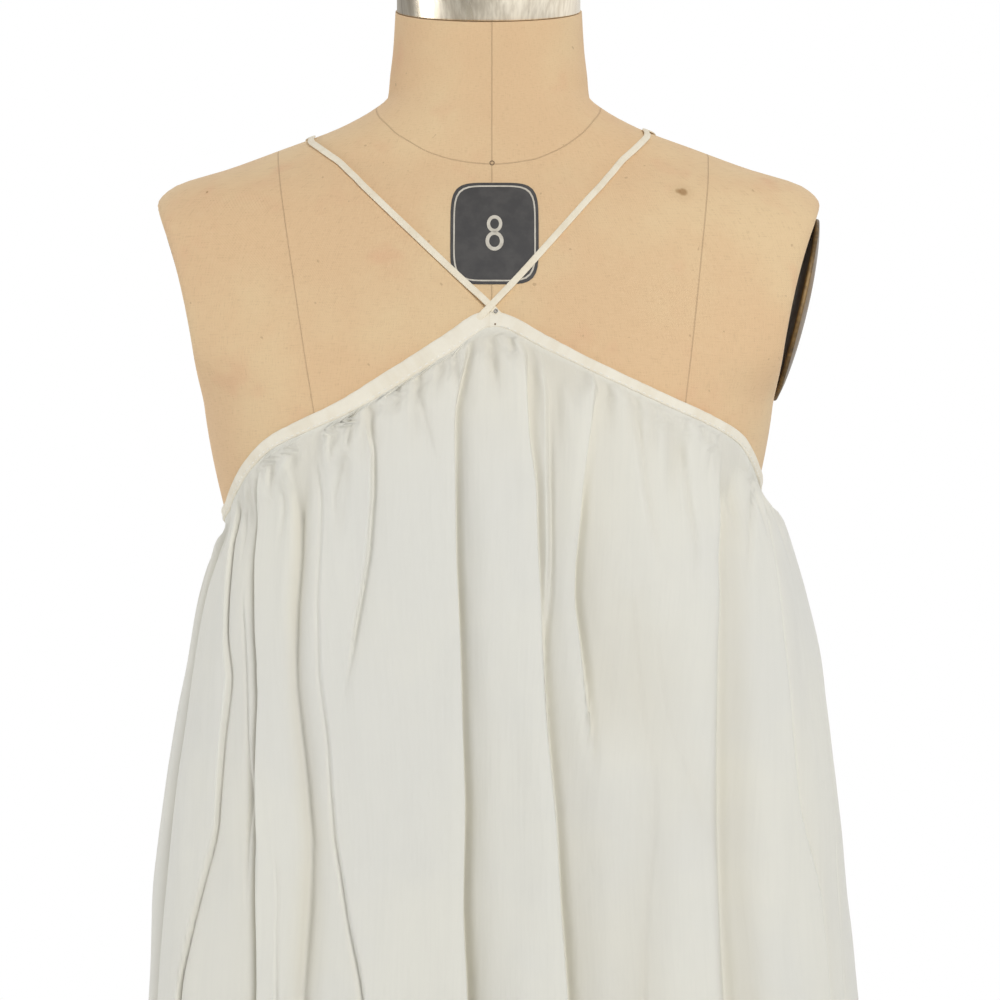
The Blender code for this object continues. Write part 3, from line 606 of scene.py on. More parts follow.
def makeCap():
    look = capLook
    wide, tall, lip, edge = look["halfWidth"], look["height"], look["lip"], look["edge"]
    profile = [(0, 0), (0.5 * wide, 0)] + arc((wide - lip, lip), lip, -90, 0, 4)
    profile += [(wide, 0.3 * tall), (wide, 0.6 * tall)] + arc((wide - edge, tall - edge), edge, 0, 90, 8)
    profile += [(share * wide, tall + rise * mm) for share, rise in look["crown"]]
    seat = look["seat"] + look["gap"] + math.tan(torsoLook["neckTilt"]) * look["centreY"]
    matrix = (Matrix.Translation((0, look["centreY"], seat))
              @ Matrix.Rotation(torsoLook["neckTilt"], 4, "X"))
    bm = turned(profile, 128, (1, look["halfDepth"] / wide), matrix)
    return addPiece("neckCap", bm, capMetal, ["form_neck_cap"])


plateLooks = {
    "left": {"halfTall": 0.0500, "halfDeep": 0.030, "edge": 0.8 * mm, "proud": 1.6 * mm, "bent": True},
    "right": {"halfTall": 0.0535, "halfDeep": 0.040, "edge": 2.6 * mm, "proud": 7.6 * mm, "bent": False},
}


def makePlate(side):
    look = plateLooks[side]
    lean, radius, _ = armFrame()
    half, edge, proud = look["halfTall"], look["edge"], look["proud"]
    lip = 0.35 * edge
    profile = [(half * k / 6, 0) for k in range(6)]
    profile += arc((half - lip, lip), lip, -90, 0, 3) + arc((half - lip, edge - lip), lip, 0, 90, 3)
    rings = 14
    for k in range(1, rings + 1):
        inwards = 1 - k / rings
        profile.append((inwards * (half - 2 * lip), edge + (proud - edge) * (1 - inwards**2)**0.75))
    bm = turned(profile, 96, (1, look["halfDeep"] / half))

    def sag(reach):
        return radius - math.sqrt(radius**2 - reach**2)

    if look["bent"]:
        for vert in bm.verts:
            vert.co.z += sag(vert.co.x)
    way = 1 if side == "right" else -1
    out = capLook["gap"] + (0 if look["bent"] else sag(half))
    matrix = Matrix.Translation(armPlace(way, out)) @ Matrix.Rotation(way * (math.pi / 2 + lean), 4, "Y")
    bmesh.ops.transform(bm, matrix=matrix, verts=bm.verts)
    return addPiece("armPlate" + side.capitalize(), bm, plateMetal, ["arm_plate_" + side])


standLook = {"baseRadius": 0.215, "baseThick": 0.013, "rise": 0.006, "round": 3 * mm, "hubRadius": 0.042,
             "hubTop": 0.046, "poleRadius": 0.016, "poleTop": 0.7637, "gap": 0.3 * mm}


def makeStand():
    look = standLook
    wide, thick, soft, hub = look["baseRadius"], look["baseThick"], look["round"], look["hubRadius"]
    profile = [(0, 0), (0.5 * wide, 0)] + arc((wide - soft, soft), soft, -90, 0, 5)
    profile += arc((wide - soft, thick - soft), soft, 0, 80, 5)
    for k in range(1, 9):
        share = k / 8
        reach = wide - 2 * soft - (wide - 2 * soft - hub - soft) * share
        profile.append((reach, thick + look["rise"] * share**1.2))
    profile.append((0, thick + look["rise"]))
    addPiece("standBase", turned(profile, 160), baseIron, ["stand_base"])
    seat, top = thick + look["rise"] + look["gap"], look["hubTop"]
    collar = [(0, seat), (hub - 0.5 * mm, seat), (hub, seat + 0.5 * mm), (hub, 0.5 * (seat + top))]
    collar += arc((hub - soft, top - soft), soft, 0, 90, 6) + [(0, top)]
    addPiece("standCollar", turned(collar, 96), baseIron, ["stand_hub"])
    pole = look["poleRadius"]
    foot, tip = top + look["gap"], look["poleTop"]
    tube = [(0, foot), (pole, foot), (pole, 0.4), (pole, tip), (0, tip)]
    addPiece("standPole", turned(tube, 64), poleMetal, ["stand_pole"])


makeCap()
for side in plateLooks:
    makePlate(side)
makeStand()
print("cap, plates and stand made")


# Creases of the dress. Each has its depth in mm at its top and foot, how far it reaches to the left and
# to the right in mm, both at its top and foot, the side that lies lower (1 right, -1 left, 0 for an
# even trough), and its path of (angle, height) from the top down.

dressLook = {
    "hem": 0.430,
    "tuck": 1.6 * mm,  # how far the cloth runs up behind the binding
    "seat": 1.5 * mm,  # how far off the form it lies there
    "puff": 14 * mm,  # how soon it reaches its loose outline
    "rideOut": 1.4 * mm,
    "swell": 6.5 * mm,  # fullness under the binding, and how long it lasts
    "swellLong": 150 * mm,
    "soft": 2.0 * mm,
    "lean": 0.60,
    "drawn": 1.5,  # how much deeper a crease is at its top
    "thick": 0.5 * mm,
    "flowNear": 0.62,
    "flowFall": 0.26,
    "waves": [(9, 2.1, 0.9), (17, 3.3, 0.6), (31, 4.7, 0.35), (53, 9.0, 0.18)],  # turns, rises, size in mm
    "crowdTop": 1.6,
    "crowd": (1.7, 0.8),  # extra columns at a one-sided crease and at a trough
    "crowdWide": 5,
}
creaseLook = {
    "rise": 0.18,  # shares of the depth: the high side, the low side and the slot between them
    "sink": 0.70,
    "slot": 0.45,
    "sinkReach": 0.8,
    "slotWide": 1.1,
    "edgeWide": 0.8,
    "edgeWideShort": 2.0,
    "widen": 0.12,  # widths grow with the depth, in mm for each mm
    "core": 0.3,  # the sharp middle of a trough
    "coreWide": (1.5, 0.2),
    "undercut": 0.4,
    "undercutFrom": 2.5,
}
gatherLook = {
    "lengths": [13, 18, 26, 34, 48, 66],
    "vary": (0.7, 1.3),
    "scatter": 0.36,
    "slant": 0.006,
    "wide": (1.6, 3.0),
    "deep": (2.6, 4.6),
    "deepForLength": 0.15,
    "deepForWidth": 1.25,
    "foot": 0.8,
}
frontCreases = [
    ((3.0, 2.0), (5, 8), (7, 9), 1, [(0.3, 1.262), (0.0, 1.244), (1.1, 1.234), (2.1, 1.222)]),
    ((2.5, 2.5), (5, 6), (4, 5), 1, [(-9.4, 1.250), (-8.6, 1.235), (-7.9, 1.215)]),
    ((4.0, 17.0), (8, 26), (9, 22), 1,
     [(-5.1, 1.255), (-6.0, 1.237), (-7.6, 1.218), (-7.9, 1.209), (-7.0, 1.136), (-5.9, 1.09),
      (-4.5, 1.007), (-4.7, 0.952), (-3.8, 0.907), (-3.5, 0.43)]),
    ((2.0, 1.5), (6, 10), (5, 9), 1, [(-17.9, 1.236), (-16.0, 1.215), (-13.6, 1.198), (-11.0, 1.180)]),
    ((2.5, 3.0), (5, 12), (6, 14), 1,
     [(-29.3, 1.221), (-26.6, 1.194), (-26.4, 1.172), (-26.7, 1.136), (-28.3, 1.103), (-30.2, 1.05)]),
    ((2.0, 2.0), (4, 5), (4, 5), -1, [(-25.0, 1.220), (-26.7, 1.209), (-26.6, 1.188)]),
    ((2.5, 2.0), (6, 6), (7, 9), 1,
     [(-32.3, 1.216), (-32.7, 1.195), (-34.2, 1.185), (-35.9, 1.168), (-34.0, 1.140)]),
    ((0.5, 1.8), (5, 8), (5, 7), -1, [(-31.3, 1.19), (-32.0, 1.168), (-32.8, 1.135)]),
    ((2.2, 1.2), (4, 5), (4, 5), 1, [(-37.4, 1.212), (-36.8, 1.198), (-37.1, 1.180)]),
    ((4.6, 8.0), (5, 12), (6, 14), 0,
     [(-41.5, 1.210), (-41.7, 1.191), (-43.1, 1.182), (-44.5, 1.163), (-43.0, 1.135), (-42.7, 1.107),
      (-41.1, 1.071), (-38.5, 1.036), (-34.9, 0.986), (-34.6, 0.931), (-34, 0.43)]),
    ((1.6, 1.0), (4, 5), (4, 5), -1, [(-39.8, 1.205), (-40.2, 1.191), (-42.2, 1.175)]),
    ((1.0, 8.0), (6, 16), (6, 18), -1,
     [(-39.0, 1.185), (-38.2, 1.168), (-37.0, 1.129), (-35.1, 1.072), (-32.2, 1.036), (-29.5, 0.987),
      (-25.8, 0.945), (-22.5, 0.908), (-19, 0.43)]),
    ((2.2, 2.0), (5, 9), (5, 8), 1, [(-44.0, 1.204), (-44.6, 1.196), (-49.2, 1.177), (-50.1, 1.125)]),
    ((2.4, 1.5), (4, 6), (5, 7), 1, [(-51.0, 1.201), (-51.0, 1.189), (-52.3, 1.182), (-55.3, 1.150)]),
    ((3.6, 11.0), (12, 30), (6, 14), -1,
     [(-55.5, 1.195), (-55.9, 1.177), (-57.3, 1.163), (-55.8, 1.135), (-49.5, 1.059), (-45.8, 0.984),
      (-43.8, 0.904), (-47, 0.43)]),
    ((1.0, 2.5), (6, 9), (6, 9), -1, [(-57.0, 1.11), (-55.1, 1.09), (-47.8, 1.006), (-47.0, 0.94)]),
    ((2.2, 1.5), (5, 7), (5, 7), 1,
     [(-55.0, 1.193), (-56.2, 1.187), (-59.6, 1.177), (-63.1, 1.158), (-59.9, 1.12)]),
    ((2.4, 4.5), (6, 20), (8, 24), 1,
     [(-59.5, 1.189), (-59.8, 1.182), (-65.7, 1.168), (-67.0, 1.144), (-58.4, 1.069), (-58.0, 1.039),
      (-56.6, 0.988), (-61.5, 0.923), (-63.7, 0.899), (-65, 0.43)]),
    ((0.5, 5.0), (8, 14), (8, 14), 1, [(-42.0, 0.975), (-41.0, 0.954), (-39.8, 0.905), (-41, 0.60)]),
    ((2.4, 6.0), (5, 16), (5, 16), 0,
     [(-72.0, 1.168), (-76, 1.14), (-78, 1.06), (-77, 0.95), (-80, 0.43)]),
    ((2.6, 1.5), (4, 7), (5, 8), 1, [(4.0, 1.260), (4.6, 1.256), (5.8, 1.246), (7.9, 1.230)]),
    ((4.5, 16.0), (7, 24), (24, 56), 1,
     [(7.6, 1.259), (9.9, 1.249), (9.4, 1.224), (9.7, 1.199), (10.9, 1.174), (10.9, 1.143),
      (11.3, 1.101), (11.9, 1.053), (13.3, 0.997), (13.8, 0.957), (14.6, 0.907), (16, 0.43)]),
    ((2.6, 2.5), (4, 7), (7, 12), 1,
     [(13.6, 1.252), (13.8, 1.237), (14.1, 1.224), (13.6, 1.185), (13.3, 1.135), (11.9, 1.075)]),
    ((1.8, 1.0), (4, 5), (4, 5), 1, [(18.2, 1.250), (17.6, 1.244), (16.4, 1.220)]),
    ((4.5, 10.0), (6, 14), (18, 60), 1,
     [(25.9, 1.237), (25.6, 1.227), (23.9, 1.204), (21.4, 1.174), (19.1, 1.135), (18.4, 1.113),
      (19.1, 1.093), (19.7, 1.066), (21.3, 1.02)]),
    ((2.2, 1.5), (4, 5), (4, 5), -1, [(27.5, 1.235), (27.5, 1.23), (28.3, 1.224), (30.4, 1.212)]),
    ((2.6, 1.5), (6, 10), (8, 14), 1,
     [(33.7, 1.230), (33.9, 1.223), (34.3, 1.204), (35.2, 1.183), (36.0, 1.161), (37.7, 1.115)]),
    ((2.4, 2.0), (6, 9), (6, 9), -1,
     [(39.8, 1.222), (40.2, 1.218), (43.5, 1.204), (45.6, 1.19), (47.0, 1.175), (46.6, 1.155),
      (46.5, 1.142), (44.5, 1.105)]),
    ((1.8, 1.0), (4, 6), (4, 6), 1, [(49.9, 1.210), (49.9, 1.204), (52.9, 1.195), (54.6, 1.180)]),
    ((1.0, 9.0), (10, 20), (10, 22), 0,
     [(31.1, 1.12), (31.1, 1.092), (31.6, 1.053), (32.9, 1.027), (31.9, 0.988), (29.5, 0.949),
      (28.2, 0.906), (27, 0.43)]),
    ((0.8, 2.5), (12, 18), (12, 18), 0,
     [(35.5, 1.10), (35.9, 1.079), (36.9, 1.046), (41.6, 1.006), (44.2, 0.96)]),
    ((6.0, 19.0), (4, 8), (13, 28), 0,
     [(56.9, 1.203), (57.5, 1.199), (58.4, 1.185), (57.1, 1.165), (53.4, 1.134), (50.1, 1.088),
      (47.7, 1.025), (45.5, 0.953), (44.9, 0.902), (44, 0.43)]),
    ((2.4, 2.0), (5, 8), (6, 9), -1,
     [(59.2, 1.203), (59.2, 1.199), (65.6, 1.185), (69.0, 1.175), (64.0, 1.154), (55.8, 1.105)]),
    ((2.4, 8.0), (5, 16), (7, 18), 1,
     [(63.4, 1.199), (63.7, 1.197), (68.8, 1.185), (72.4, 1.17), (68.6, 1.135), (65.5, 1.092),
      (63.7, 1.042), (63.4, 1.002), (66.8, 0.956), (67, 0.43)]),
    ((1.0, 7.0), (8, 16), (8, 16), 1,
     [(78.0, 1.05), (78.0, 1.005), (75.8, 0.964), (74.1, 0.894), (80, 0.43)]),
]
backCreases = [
    ((2.6, 9.0), (6, 18), (8, 20), 1, [(101, 1.156), (104, 1.12), (104, 1.0), (103, 0.9), (102, 0.43)]),
    ((2.8, 10.0), (6, 18), (8, 20), 1,
     [(118, 1.152), (117, 1.13), (119, 1.06), (121, 0.98), (120, 0.9), (119, 0.43)]),
    ((3.2, 11.0), (6, 20), (8, 22), 1,
     [(131, 1.150), (132, 1.12), (134, 1.06), (137, 0.98), (139, 0.9), (138, 0.43)]),
    ((2.4, 2.5), (5, 8), (5, 8), 1, [(145, 1.149), (147, 1.10), (150, 1.0), (151, 0.95)]),
    ((2.8, 9.0), (6, 18), (8, 20), 1, [(158, 1.146), (159, 1.10), (161, 1.0), (160, 0.9), (159, 0.43)]),
    ((3.2, 11.0), (6, 20), (8, 22), 1,
     [(171, 1.144), (173, 1.10), (176, 1.0), (177, 0.9), (178, 0.43)]),
    ((2.4, 2.5), (5, 8), (5, 8), -1, [(186, 1.144), (187, 1.10), (188, 1.0), (188, 0.96)]),
    ((2.8, 9.0), (6, 18), (8, 20), -1,
     [(200, 1.146), (199, 1.10), (198, 1.0), (197, 0.9), (198, 0.43)]),
    ((3.2, 11.0), (6, 20), (8, 22), -1,
     [(216, 1.149), (214, 1.10), (213, 1.0), (214, 0.9), (215, 0.43)]),
    ((2.4, 2.5), (5, 8), (5, 8), 1, [(229, 1.150), (228, 1.10), (226, 1.0), (226, 0.95)]),
    ((2.8, 9.0), (6, 18), (8, 20), 1, [(243, 1.151), (241, 1.10), (238, 1.0), (236, 0.9), (236, 0.43)]),
    ((2.6, 9.0), (6, 18), (8, 20), 1, [(258, 1.154), (257, 1.10), (255, 1.0), (256, 0.9), (256, 0.43)]),
    ((1.4, 0.6), (4, 5), (4, 5), 1, [(110, 1.156), (109, 1.14), (108, 1.11)]),
    ((1.4, 0.6), (4, 5), (4, 5), -1, [(152, 1.149), (153, 1.13), (155, 1.10)]),
    ((1.4, 0.6), (4, 5), (4, 5), 1, [(165, 1.146), (166, 1.13), (167, 1.11)]),
    ((1.4, 0.6), (4, 5), (4, 5), -1, [(193, 1.146), (193, 1.13), (192, 1.11)]),
    ((1.4, 0.6), (4, 5), (4, 5), 1, [(208, 1.149), (207, 1.13), (205, 1.10)]),
    ((1.4, 0.6), (4, 5), (4, 5), 1, [(236, 1.151), (235, 1.13), (233, 1.11)]),
]


def creasePlace(path, height):
    # where a crease runs at a height, and how far down its length that is
    heights = [p[1] for p in reversed(path)]
    at = np.radians(np.interp(height, heights, [p[0] for p in reversed(path)]))
    top, foot = heights[-1], heights[0]
    down = np.clip((top - height) / (top - foot), 0, 1)
    fade = min(0.05, 0.45 * (top - foot))
    shown = ease((top - height) / (3 * mm)) * (1.0 if foot < 0.5 else ease((height - foot) / fade))
    return at, down, shown


def isMain(path):
    # long creases are drawn sharper, and columns crowd along them
    return path[0][1] - path[-1][1] > 0.13


def between(pair, down):
    return pair[0] + (pair[1] - pair[0]) * down


def creaseShape(creases, angle, height, radius):
    # how far the creases push each point out, and how far they shift it sideways
    look = creaseLook
    out, aside = np.zeros_like(angle), np.zeros_like(angle)
    for depth, left, right, lower, path in creases:
        at, down, shown = creasePlace(path, height)
        away = ((angle - at + np.pi) % (2 * np.pi) - np.pi) * radius / mm
        deep = between(depth, ease(down)) * shown * (dressLook["drawn"] + (1 - dressLook["drawn"]) * down)
        near = np.abs(away) < 3.2 * np.maximum(between(left, down), between(right, down))
        if not near.any():
            continue
        if lower == 0:
            push = -np.exp(-(away / np.where(away < 0, between(left, down), between(right, down)))**2)
            core = look["coreWide"][0] + look["coreWide"][1] * deep
            push -= look["core"] * isMain(path) * np.exp(-(away / core)**2)
        else:
            high, low = (left, right) if lower > 0 else (right, left)
            across = away * lower
            wide = (look["edgeWide"] if isMain(path) else look["edgeWideShort"]) + look["widen"] * deep
            step = ease(0.5 + 0.5 * across / wide)
            slot = look["slotWide"] + look["widen"] * deep
            reach = look["sinkReach"] * between(low, down)
            push = (look["rise"] * np.exp(-(np.minimum(across, 0) / between(high, down))**2) * (1 - step)
                    - look["sink"] * np.exp(-np.maximum(across, 0) / reach) * step
                    - look["slot"] * np.exp(-((across - slot) / slot)**2) * step)
            under = np.clip(look["undercut"] * (deep - look["undercutFrom"]), 0, 1.2 * wide)
            under *= isMain(path) and path[-1][1] < 1.05
            aside += lower * under * (np.exp(-((across + wide) / (1.5 * wide))**2)
                                      - np.exp(-((across - wide) / (1.5 * wide))**2)) * mm
        out += deep * push * mm
    return out, aside


def smallGathers(count, seed, angleAt, topAt):
    # short creases of uneven size that start at the binding and run out
    look = gatherLook
    rng = np.random.default_rng(seed)
    spots = (np.arange(count) + 0.5 + rng.uniform(-look["scatter"], look["scatter"], count)) / count
    made = []
    for spot in spots:
        length = rng.choice(look["lengths"]) * rng.uniform(*look["vary"]) * mm
        wide, slant = rng.uniform(*look["wide"]), rng.normal(0, look["slant"])
        depth = min(rng.uniform(*look["deep"]), look["deepForLength"] * length / mm, look["deepForWidth"] * wide)
        path = [(math.degrees(angleAt(np.clip(spot + slant * share, 0, 1), share * length)),
                 float(topAt(spot)) - share * length) for share in (0, 0.5, 1)]
        made.append(((depth, look["foot"]), (wide, 1.5 * wide), (wide, 2.0 * wide), 0, path))
    return made


def frontAngle(u, fall):
    # columns of the front spread out towards the middle on the way down
    share = 2 * u - 1
    low = share * (dressLook["flowNear"] + (1 - dressLook["flowNear"]) * share**2)
    return np.radians(90) * (share + (low - share) * ease(fall / dressLook["flowFall"]))


def backAngle(u, fall):
    return np.radians(90 + 180 * u) + 0 * fall


def panelTop(angle):
    return neckTop(angle) - neckBand(angle)


def undulation(angle, height, seed):
    # long soft unevenness of cloth that hangs free
    rng = np.random.default_rng(seed)
    total = np.zeros_like(angle)
    for turns, rises, size in dressLook["waves"]:
        swing = rng.uniform(0, 2 * np.pi, 2)
        total += size * np.sin(turns * angle + 1.3 * np.sin(rises * 9 * height + swing[0]) + swing[1])
    return total * mm


def dressSurface(creases, angle, height, fall, u, seed):
    # angle, radius and depth in a fold, at a height and a fall below the binding; the depth share is kept for the
    # painted crease shade
    look = dressLook
    fall = np.maximum(fall, 0)
    near = formRadius(angle, height) + look["seat"]
    loose = np.maximum(drapeRadius(angle, height) + look["rideOut"] - near, 0)
    radius = near + loose * ease(fall / look["puff"])
    out, aside = creaseShape(creases, angle, height, radius)
    seam = ease(np.minimum(u, 1 - u) / 0.012)
    out = out * seam
    # folds sink away from the front or the back rather than towards the axis
    lean = look["lean"] * np.sin(2 * angle)
    swell = look["swell"] * (0.3 + 0.7 * np.cos(angle)**2)
    swell = swell * ease(fall / (6 * mm)) * np.exp(-fall / look["swellLong"])
    plain = radius + undulation(angle, height, seed) * ease(fall / 0.10) - 1.2 * mm * (1 - seam) + swell
    soft = look["soft"] * ease(fall / (4 * mm))
    plain, folded = (0.5 * (r + near + np.sqrt((r - near)**2 + soft**2))
                     for r in (plain, plain + out * np.cos(lean) * ease(fall / (1.8 * mm))))
    shift = aside * ease(fall / (30 * mm)) * seam - (folded - plain) * np.tan(lean)
    return angle + shift / radius, folded, np.clip((plain - folded) / (6 * mm), 0, 1)


def makePanel(name, node):
    # rows and columns follow the cloth, and columns crowd where a crease runs
    look, panel = dressLook, panelLooks[name]
    columns, rows = panel["grid"]
    angleAt = panel["angleAt"]
    creases = panel["creases"] + smallGathers(panel["gathers"], panel["seed"], angleAt,
                                              lambda u: panelTop(angleAt(u, 0 * u)))
    table = np.linspace(0, 1, 1400)
    places = np.zeros((rows + 1, columns + 1))
    top = panelTop(angleAt(table, 0 * table)) + look["tuck"]
    for k in range(rows + 1):
        fall = (top - look["hem"]) * (1 - k / rows)**look["crowdTop"]
        angle, height = angleAt(table, fall), top - fall
        radius = drapeRadius(angle, height)
        crowd = np.ones_like(table)
        for *_, lower, path in panel["creases"]:
            at, down, _ = creasePlace(path, height)
            away = ((angle - at + np.pi) % (2 * np.pi) - np.pi) * radius / mm
            drawn = 1.0 if path[-1][1] < 0.5 else 1 - ease((down - 0.6) / 0.4)
            extra = look["crowd"][0 if lower else 1] * drawn * isMain(path)
            crowd += extra * np.exp(-((away - 1.5 * lower) / look["crowdWide"])**2)
        total = np.concatenate([[0], np.cumsum(0.5 * (crowd[1:] + crowd[:-1]))])
        places[k] = np.interp(np.arange(columns + 1) / columns, total / total[-1], table)

    foldShadeDepths = []

    def across(u, v):
        return places[np.rint(v * rows).astype(int), np.rint(u * columns).astype(int)]

    def place(u, v):
        share = across(u, v)
        start = panelTop(angleAt(share, 0 * share)) + look["tuck"]
        fall = (start - look["hem"]) * (1 - v)**look["crowdTop"]
        height = start - fall
        angle, radius, sunk = dressSurface(creases, angleAt(share, fall), height, fall - look["tuck"], share,
                                           panel["seed"])
        foldShadeDepths.extend(sunk)
        return polar(angle, height, radius)

    bm = mappedGrid(columns, rows, place,
                    lambda u, v: (across(u, v) * panel["wide"], panel["long"] * (1 - v)**look["crowdTop"]))
    # how deep each point lies in a crease, kept for the painted shade of the cotton
    foldShade = bm.verts.layers.float.new("foldShade")
    for vert, depth in zip(bm.verts, foldShadeDepths):
        vert[foldShade] = depth
    bmesh.ops.recalc_face_normals(bm, faces=bm.faces)
    bm.faces.ensure_lookup_table()
    middle = bm.faces[len(bm.faces) // 2]
    spot = middle.calc_center_median()
    if middle.normal.dot(Vector((spot.x, spot.y, 0))) < 0:
        bmesh.ops.reverse_faces(bm, faces=bm.faces)
    thicken(bm, look["thick"])
    return addPiece(name, bm, cotton, [node], sharpAngle=85)


panelLooks = {
    "dressFront": {"grid": (580, 84), "wide": 0.95, "long": 0.83, "gathers": 76, "seed": 5,
                   "angleAt": frontAngle, "creases": frontCreases},
    "dressBack": {"grid": (470, 80), "wide": 0.85, "long": 0.72, "gathers": 60, "seed": 8,
                  "angleAt": backAngle, "creases": backCreases},
}
dressFront = makePanel("dressFront", "dress_front")
dressBack = makePanel("dressBack", "dress_back")
print("dress panels made")


# Bindings and straps

bindingLook = {"inner": 0.4 * mm, "thick": 1.8 * mm, "crossing": 0.6, "ripple": 0.25 * mm}


def makeBinding(name, start, end, steps, node):
    # a bias strip along the neck edge between two angles
    look = bindingLook
    angle = np.radians(np.linspace(start, end, steps))
    band = neckBand(angle)
    height = neckTop(angle) - 0.5 * band
    lower, points, upper = (polar(angle, height + half, formRadius(angle, height + half) + look["inner"])
                            for half in (-0.5 * band, 0, 0.5 * band))
    along = np.gradient(points, axis=0)
    normals = np.cross(along, upper - lower)
    normals /= np.linalg.norm(normals, axis=1)[:, None]
    outward = np.sum(normals * polar(angle, 0 * height, 1 + 0 * height), axis=1)
    normals *= np.sign(outward)[:, None]
    bends = np.arange(0, steps, 3)
    uneven = np.random.default_rng(len(name)).uniform(-1, 1, len(bends))
    widths = np.linalg.norm(upper - lower, axis=1)
    widths = widths + look["ripple"] * np.interp(np.arange(steps), bends, uneven)
    bm = stripMesh(points, normals, widths, look["thick"], around=20, squareness=0.30)
    return addPiece(name, bm, creamBias, [node])


makeBinding("bindingFrontLeft", -90, bindingLook["crossing"], 220, "binding_front_left")
makeBinding("bindingFrontRight", bindingLook["crossing"], 90, 220, "binding_front_right")
makeBinding("bindingBack", 90, 270, 240, "binding_back")

stitchLook = {"long": 2.3 * mm, "pitch": 3.7 * mm, "wide": 0.80 * mm, "up": 0.9 * mm}


def stitchRow(bm, points, normals, look):
    # one small rounded stitch after another along a line of points
    steps = np.linalg.norm(np.diff(points, axis=0), axis=1)
    length = np.concatenate([[0], np.cumsum(steps)])
    for start in np.arange(0.5 * look["pitch"], length[-1] - look["long"], look["pitch"]):
        ends = [Vector([float(np.interp(at, length, points[:, k])) for k in range(3)])
                for at in (start, start + look["long"])]
        out = Vector(normals[np.searchsorted(length, start) - 1])
        along = (ends[1] - ends[0]).normalized()
        side = along.cross(out).normalized()
        turn = Matrix((along, side, along.cross(side))).transposed().to_4x4()
        size = Matrix.Diagonal((look["long"], look["wide"], look["wide"], 1))
        bmesh.ops.create_icosphere(bm, subdivisions=1, radius=0.5,
                                   matrix=Matrix.Translation(0.5 * (ends[0] + ends[1])) @ turn @ size)


def makeEdgeStitches():
    look = stitchLook
    bm = bmesh.new()
    for start, end in ((-88, -1.5), (2.5, 88), (92, 268)):
        angle = np.radians(np.linspace(start, end, 400))
        height = panelTop(angle) + look["up"]
        points = polar(angle, height, formRadius(angle, height) + bindingLook["inner"] + 1.02 * bindingLook["thick"])
        stitchRow(bm, points, polar(angle, 0 * height, 1 + 0 * height), look)
    addPiece("edgeStitches", bm, thread)


makeEdgeStitches()

strapLooks = {
    "left": {
        "angle": [12.5, 8.4, 4.4, 2.4, 0.8, -2.4, -6.2, -14.1, -22.6, -31.4, -40.4, -50.0, -61.6,
                  -73.0, -85.5, -98.0, -110.0, -121.0, -129.0, -135.0, -139.0, -142.0, -143.5,
                  -143.8, -144.0],
        "height": [1.2528, 1.2588, 1.2640, 1.2672, 1.2704, 1.2760, 1.2821, 1.2940, 1.3061, 1.3183,
                   1.3306, 1.3434, 1.3568, 1.3665, 1.3728, 1.3717, 1.3640, 1.3520, 1.3370, 1.3050,
                   1.2600, 1.2050, 1.1650, 1.1560, 1.1480],
        "lift": [0.3, 0.4, 0.7, 1.5, 1.8, 1.5, 0.8] + [0.5] * 15 + [1.0, 2.4, 2.5],
    },
    "right": {
        "angle": [-11.0, -6.6, -2.9, -0.9, 1.0, 4.0, 7.4, 14.4, 21.9, 29.9, 38.4, 47.9, 58.6, 70.0,
                  83.0, 96.0, 109.0, 121.0, 129.5, 136.0, 140.0, 143.0, 144.5, 144.8, 145.0],
        "height": [1.2520, 1.2580, 1.2634, 1.2668, 1.2702, 1.2760, 1.2824, 1.2946, 1.3069, 1.3194,
                   1.3321, 1.3451, 1.3586, 1.3695, 1.3765, 1.3752, 1.3670, 1.3540, 1.3370, 1.3050,
                   1.2600, 1.2050, 1.1690, 1.1590, 1.1490],
        "lift": [0.3, 0.5, 1.2, 2.6, 2.9, 2.4, 1.2] + [0.5] * 15 + [1.0, 2.4, 2.5],
    },
    "width": 3.9 * mm,
    "thick": 1.0 * mm,
    "steps": 12,
}


def formNormal(points):
    # which way the form faces at each point
    def level(p):
        return np.hypot(p[:, 0], p[:, 1]) - formRadius(np.arctan2(p[:, 0], -p[:, 1]), p[:, 2])

    steps = np.eye(3) * 0.5 * mm
    normals = np.stack([level(points + s) - level(points - s) for s in steps], axis=-1)
    return normals / np.linalg.norm(normals, axis=1)[:, None]


def makeStrap(side):
    route, steps = strapLooks[side], strapLooks["steps"]
    places = np.arange(len(route["angle"]))
    at = np.linspace(0, places[-1], places[-1] * steps + 1)
    angle = np.radians(hermite(places, route["angle"], at))
    height = hermite(places, route["height"], at)
    lift = hermite(places, route["lift"], at) * mm
    onForm = polar(angle, height, formRadius(angle, height))
    normals = formNormal(onForm)
    points = onForm + normals * lift[:, None]
    widths = np.full(len(at), strapLooks["width"])
    bm = stripMesh(points, normals, widths, strapLooks["thick"], around=14, squareness=0.5)
    return addPiece("strap" + side.capitalize(), bm, creamStrap, ["strap_" + side])


for side in ("left", "right"):
    makeStrap(side)
print("bindings and straps made")


# Dark size label on the chest, with a border and a number

labelLook = {
    "x": 0.0035,
    "z": 1.3125,
    "halfWide": 0.024,
    "halfTall": 0.029,
    "corner": 5.0,  # a higher power gives squarer corners
    "lift": 0.45 * mm,
    "thick": 0.25 * mm,
    "border": (2.4 * mm, 1.6 * mm),
    "loops": [(5.2 * mm, (2.4 * mm, 3.0 * mm), (4.2 * mm, 4.9 * mm)),  # the two loops of the 8
              (-4.6 * mm, (2.9 * mm, 3.5 * mm), (4.9 * mm, 5.5 * mm))],
    "inkLift": 0.55 * mm,
    "inkThick": 0.12 * mm,
}


def onFront(x, z, out):
    # a place on the front of the form, given across and up
    y = np.full_like(x, -0.09)
    for _ in range(12):
        angle = np.arctan2(x, -y)
        y = -np.sqrt(np.maximum(formRadius(angle, z)**2 - x**2, 1e-8))
    angle = np.arctan2(x, -y)
    return polar(angle, z, formRadius(angle, z) + out)


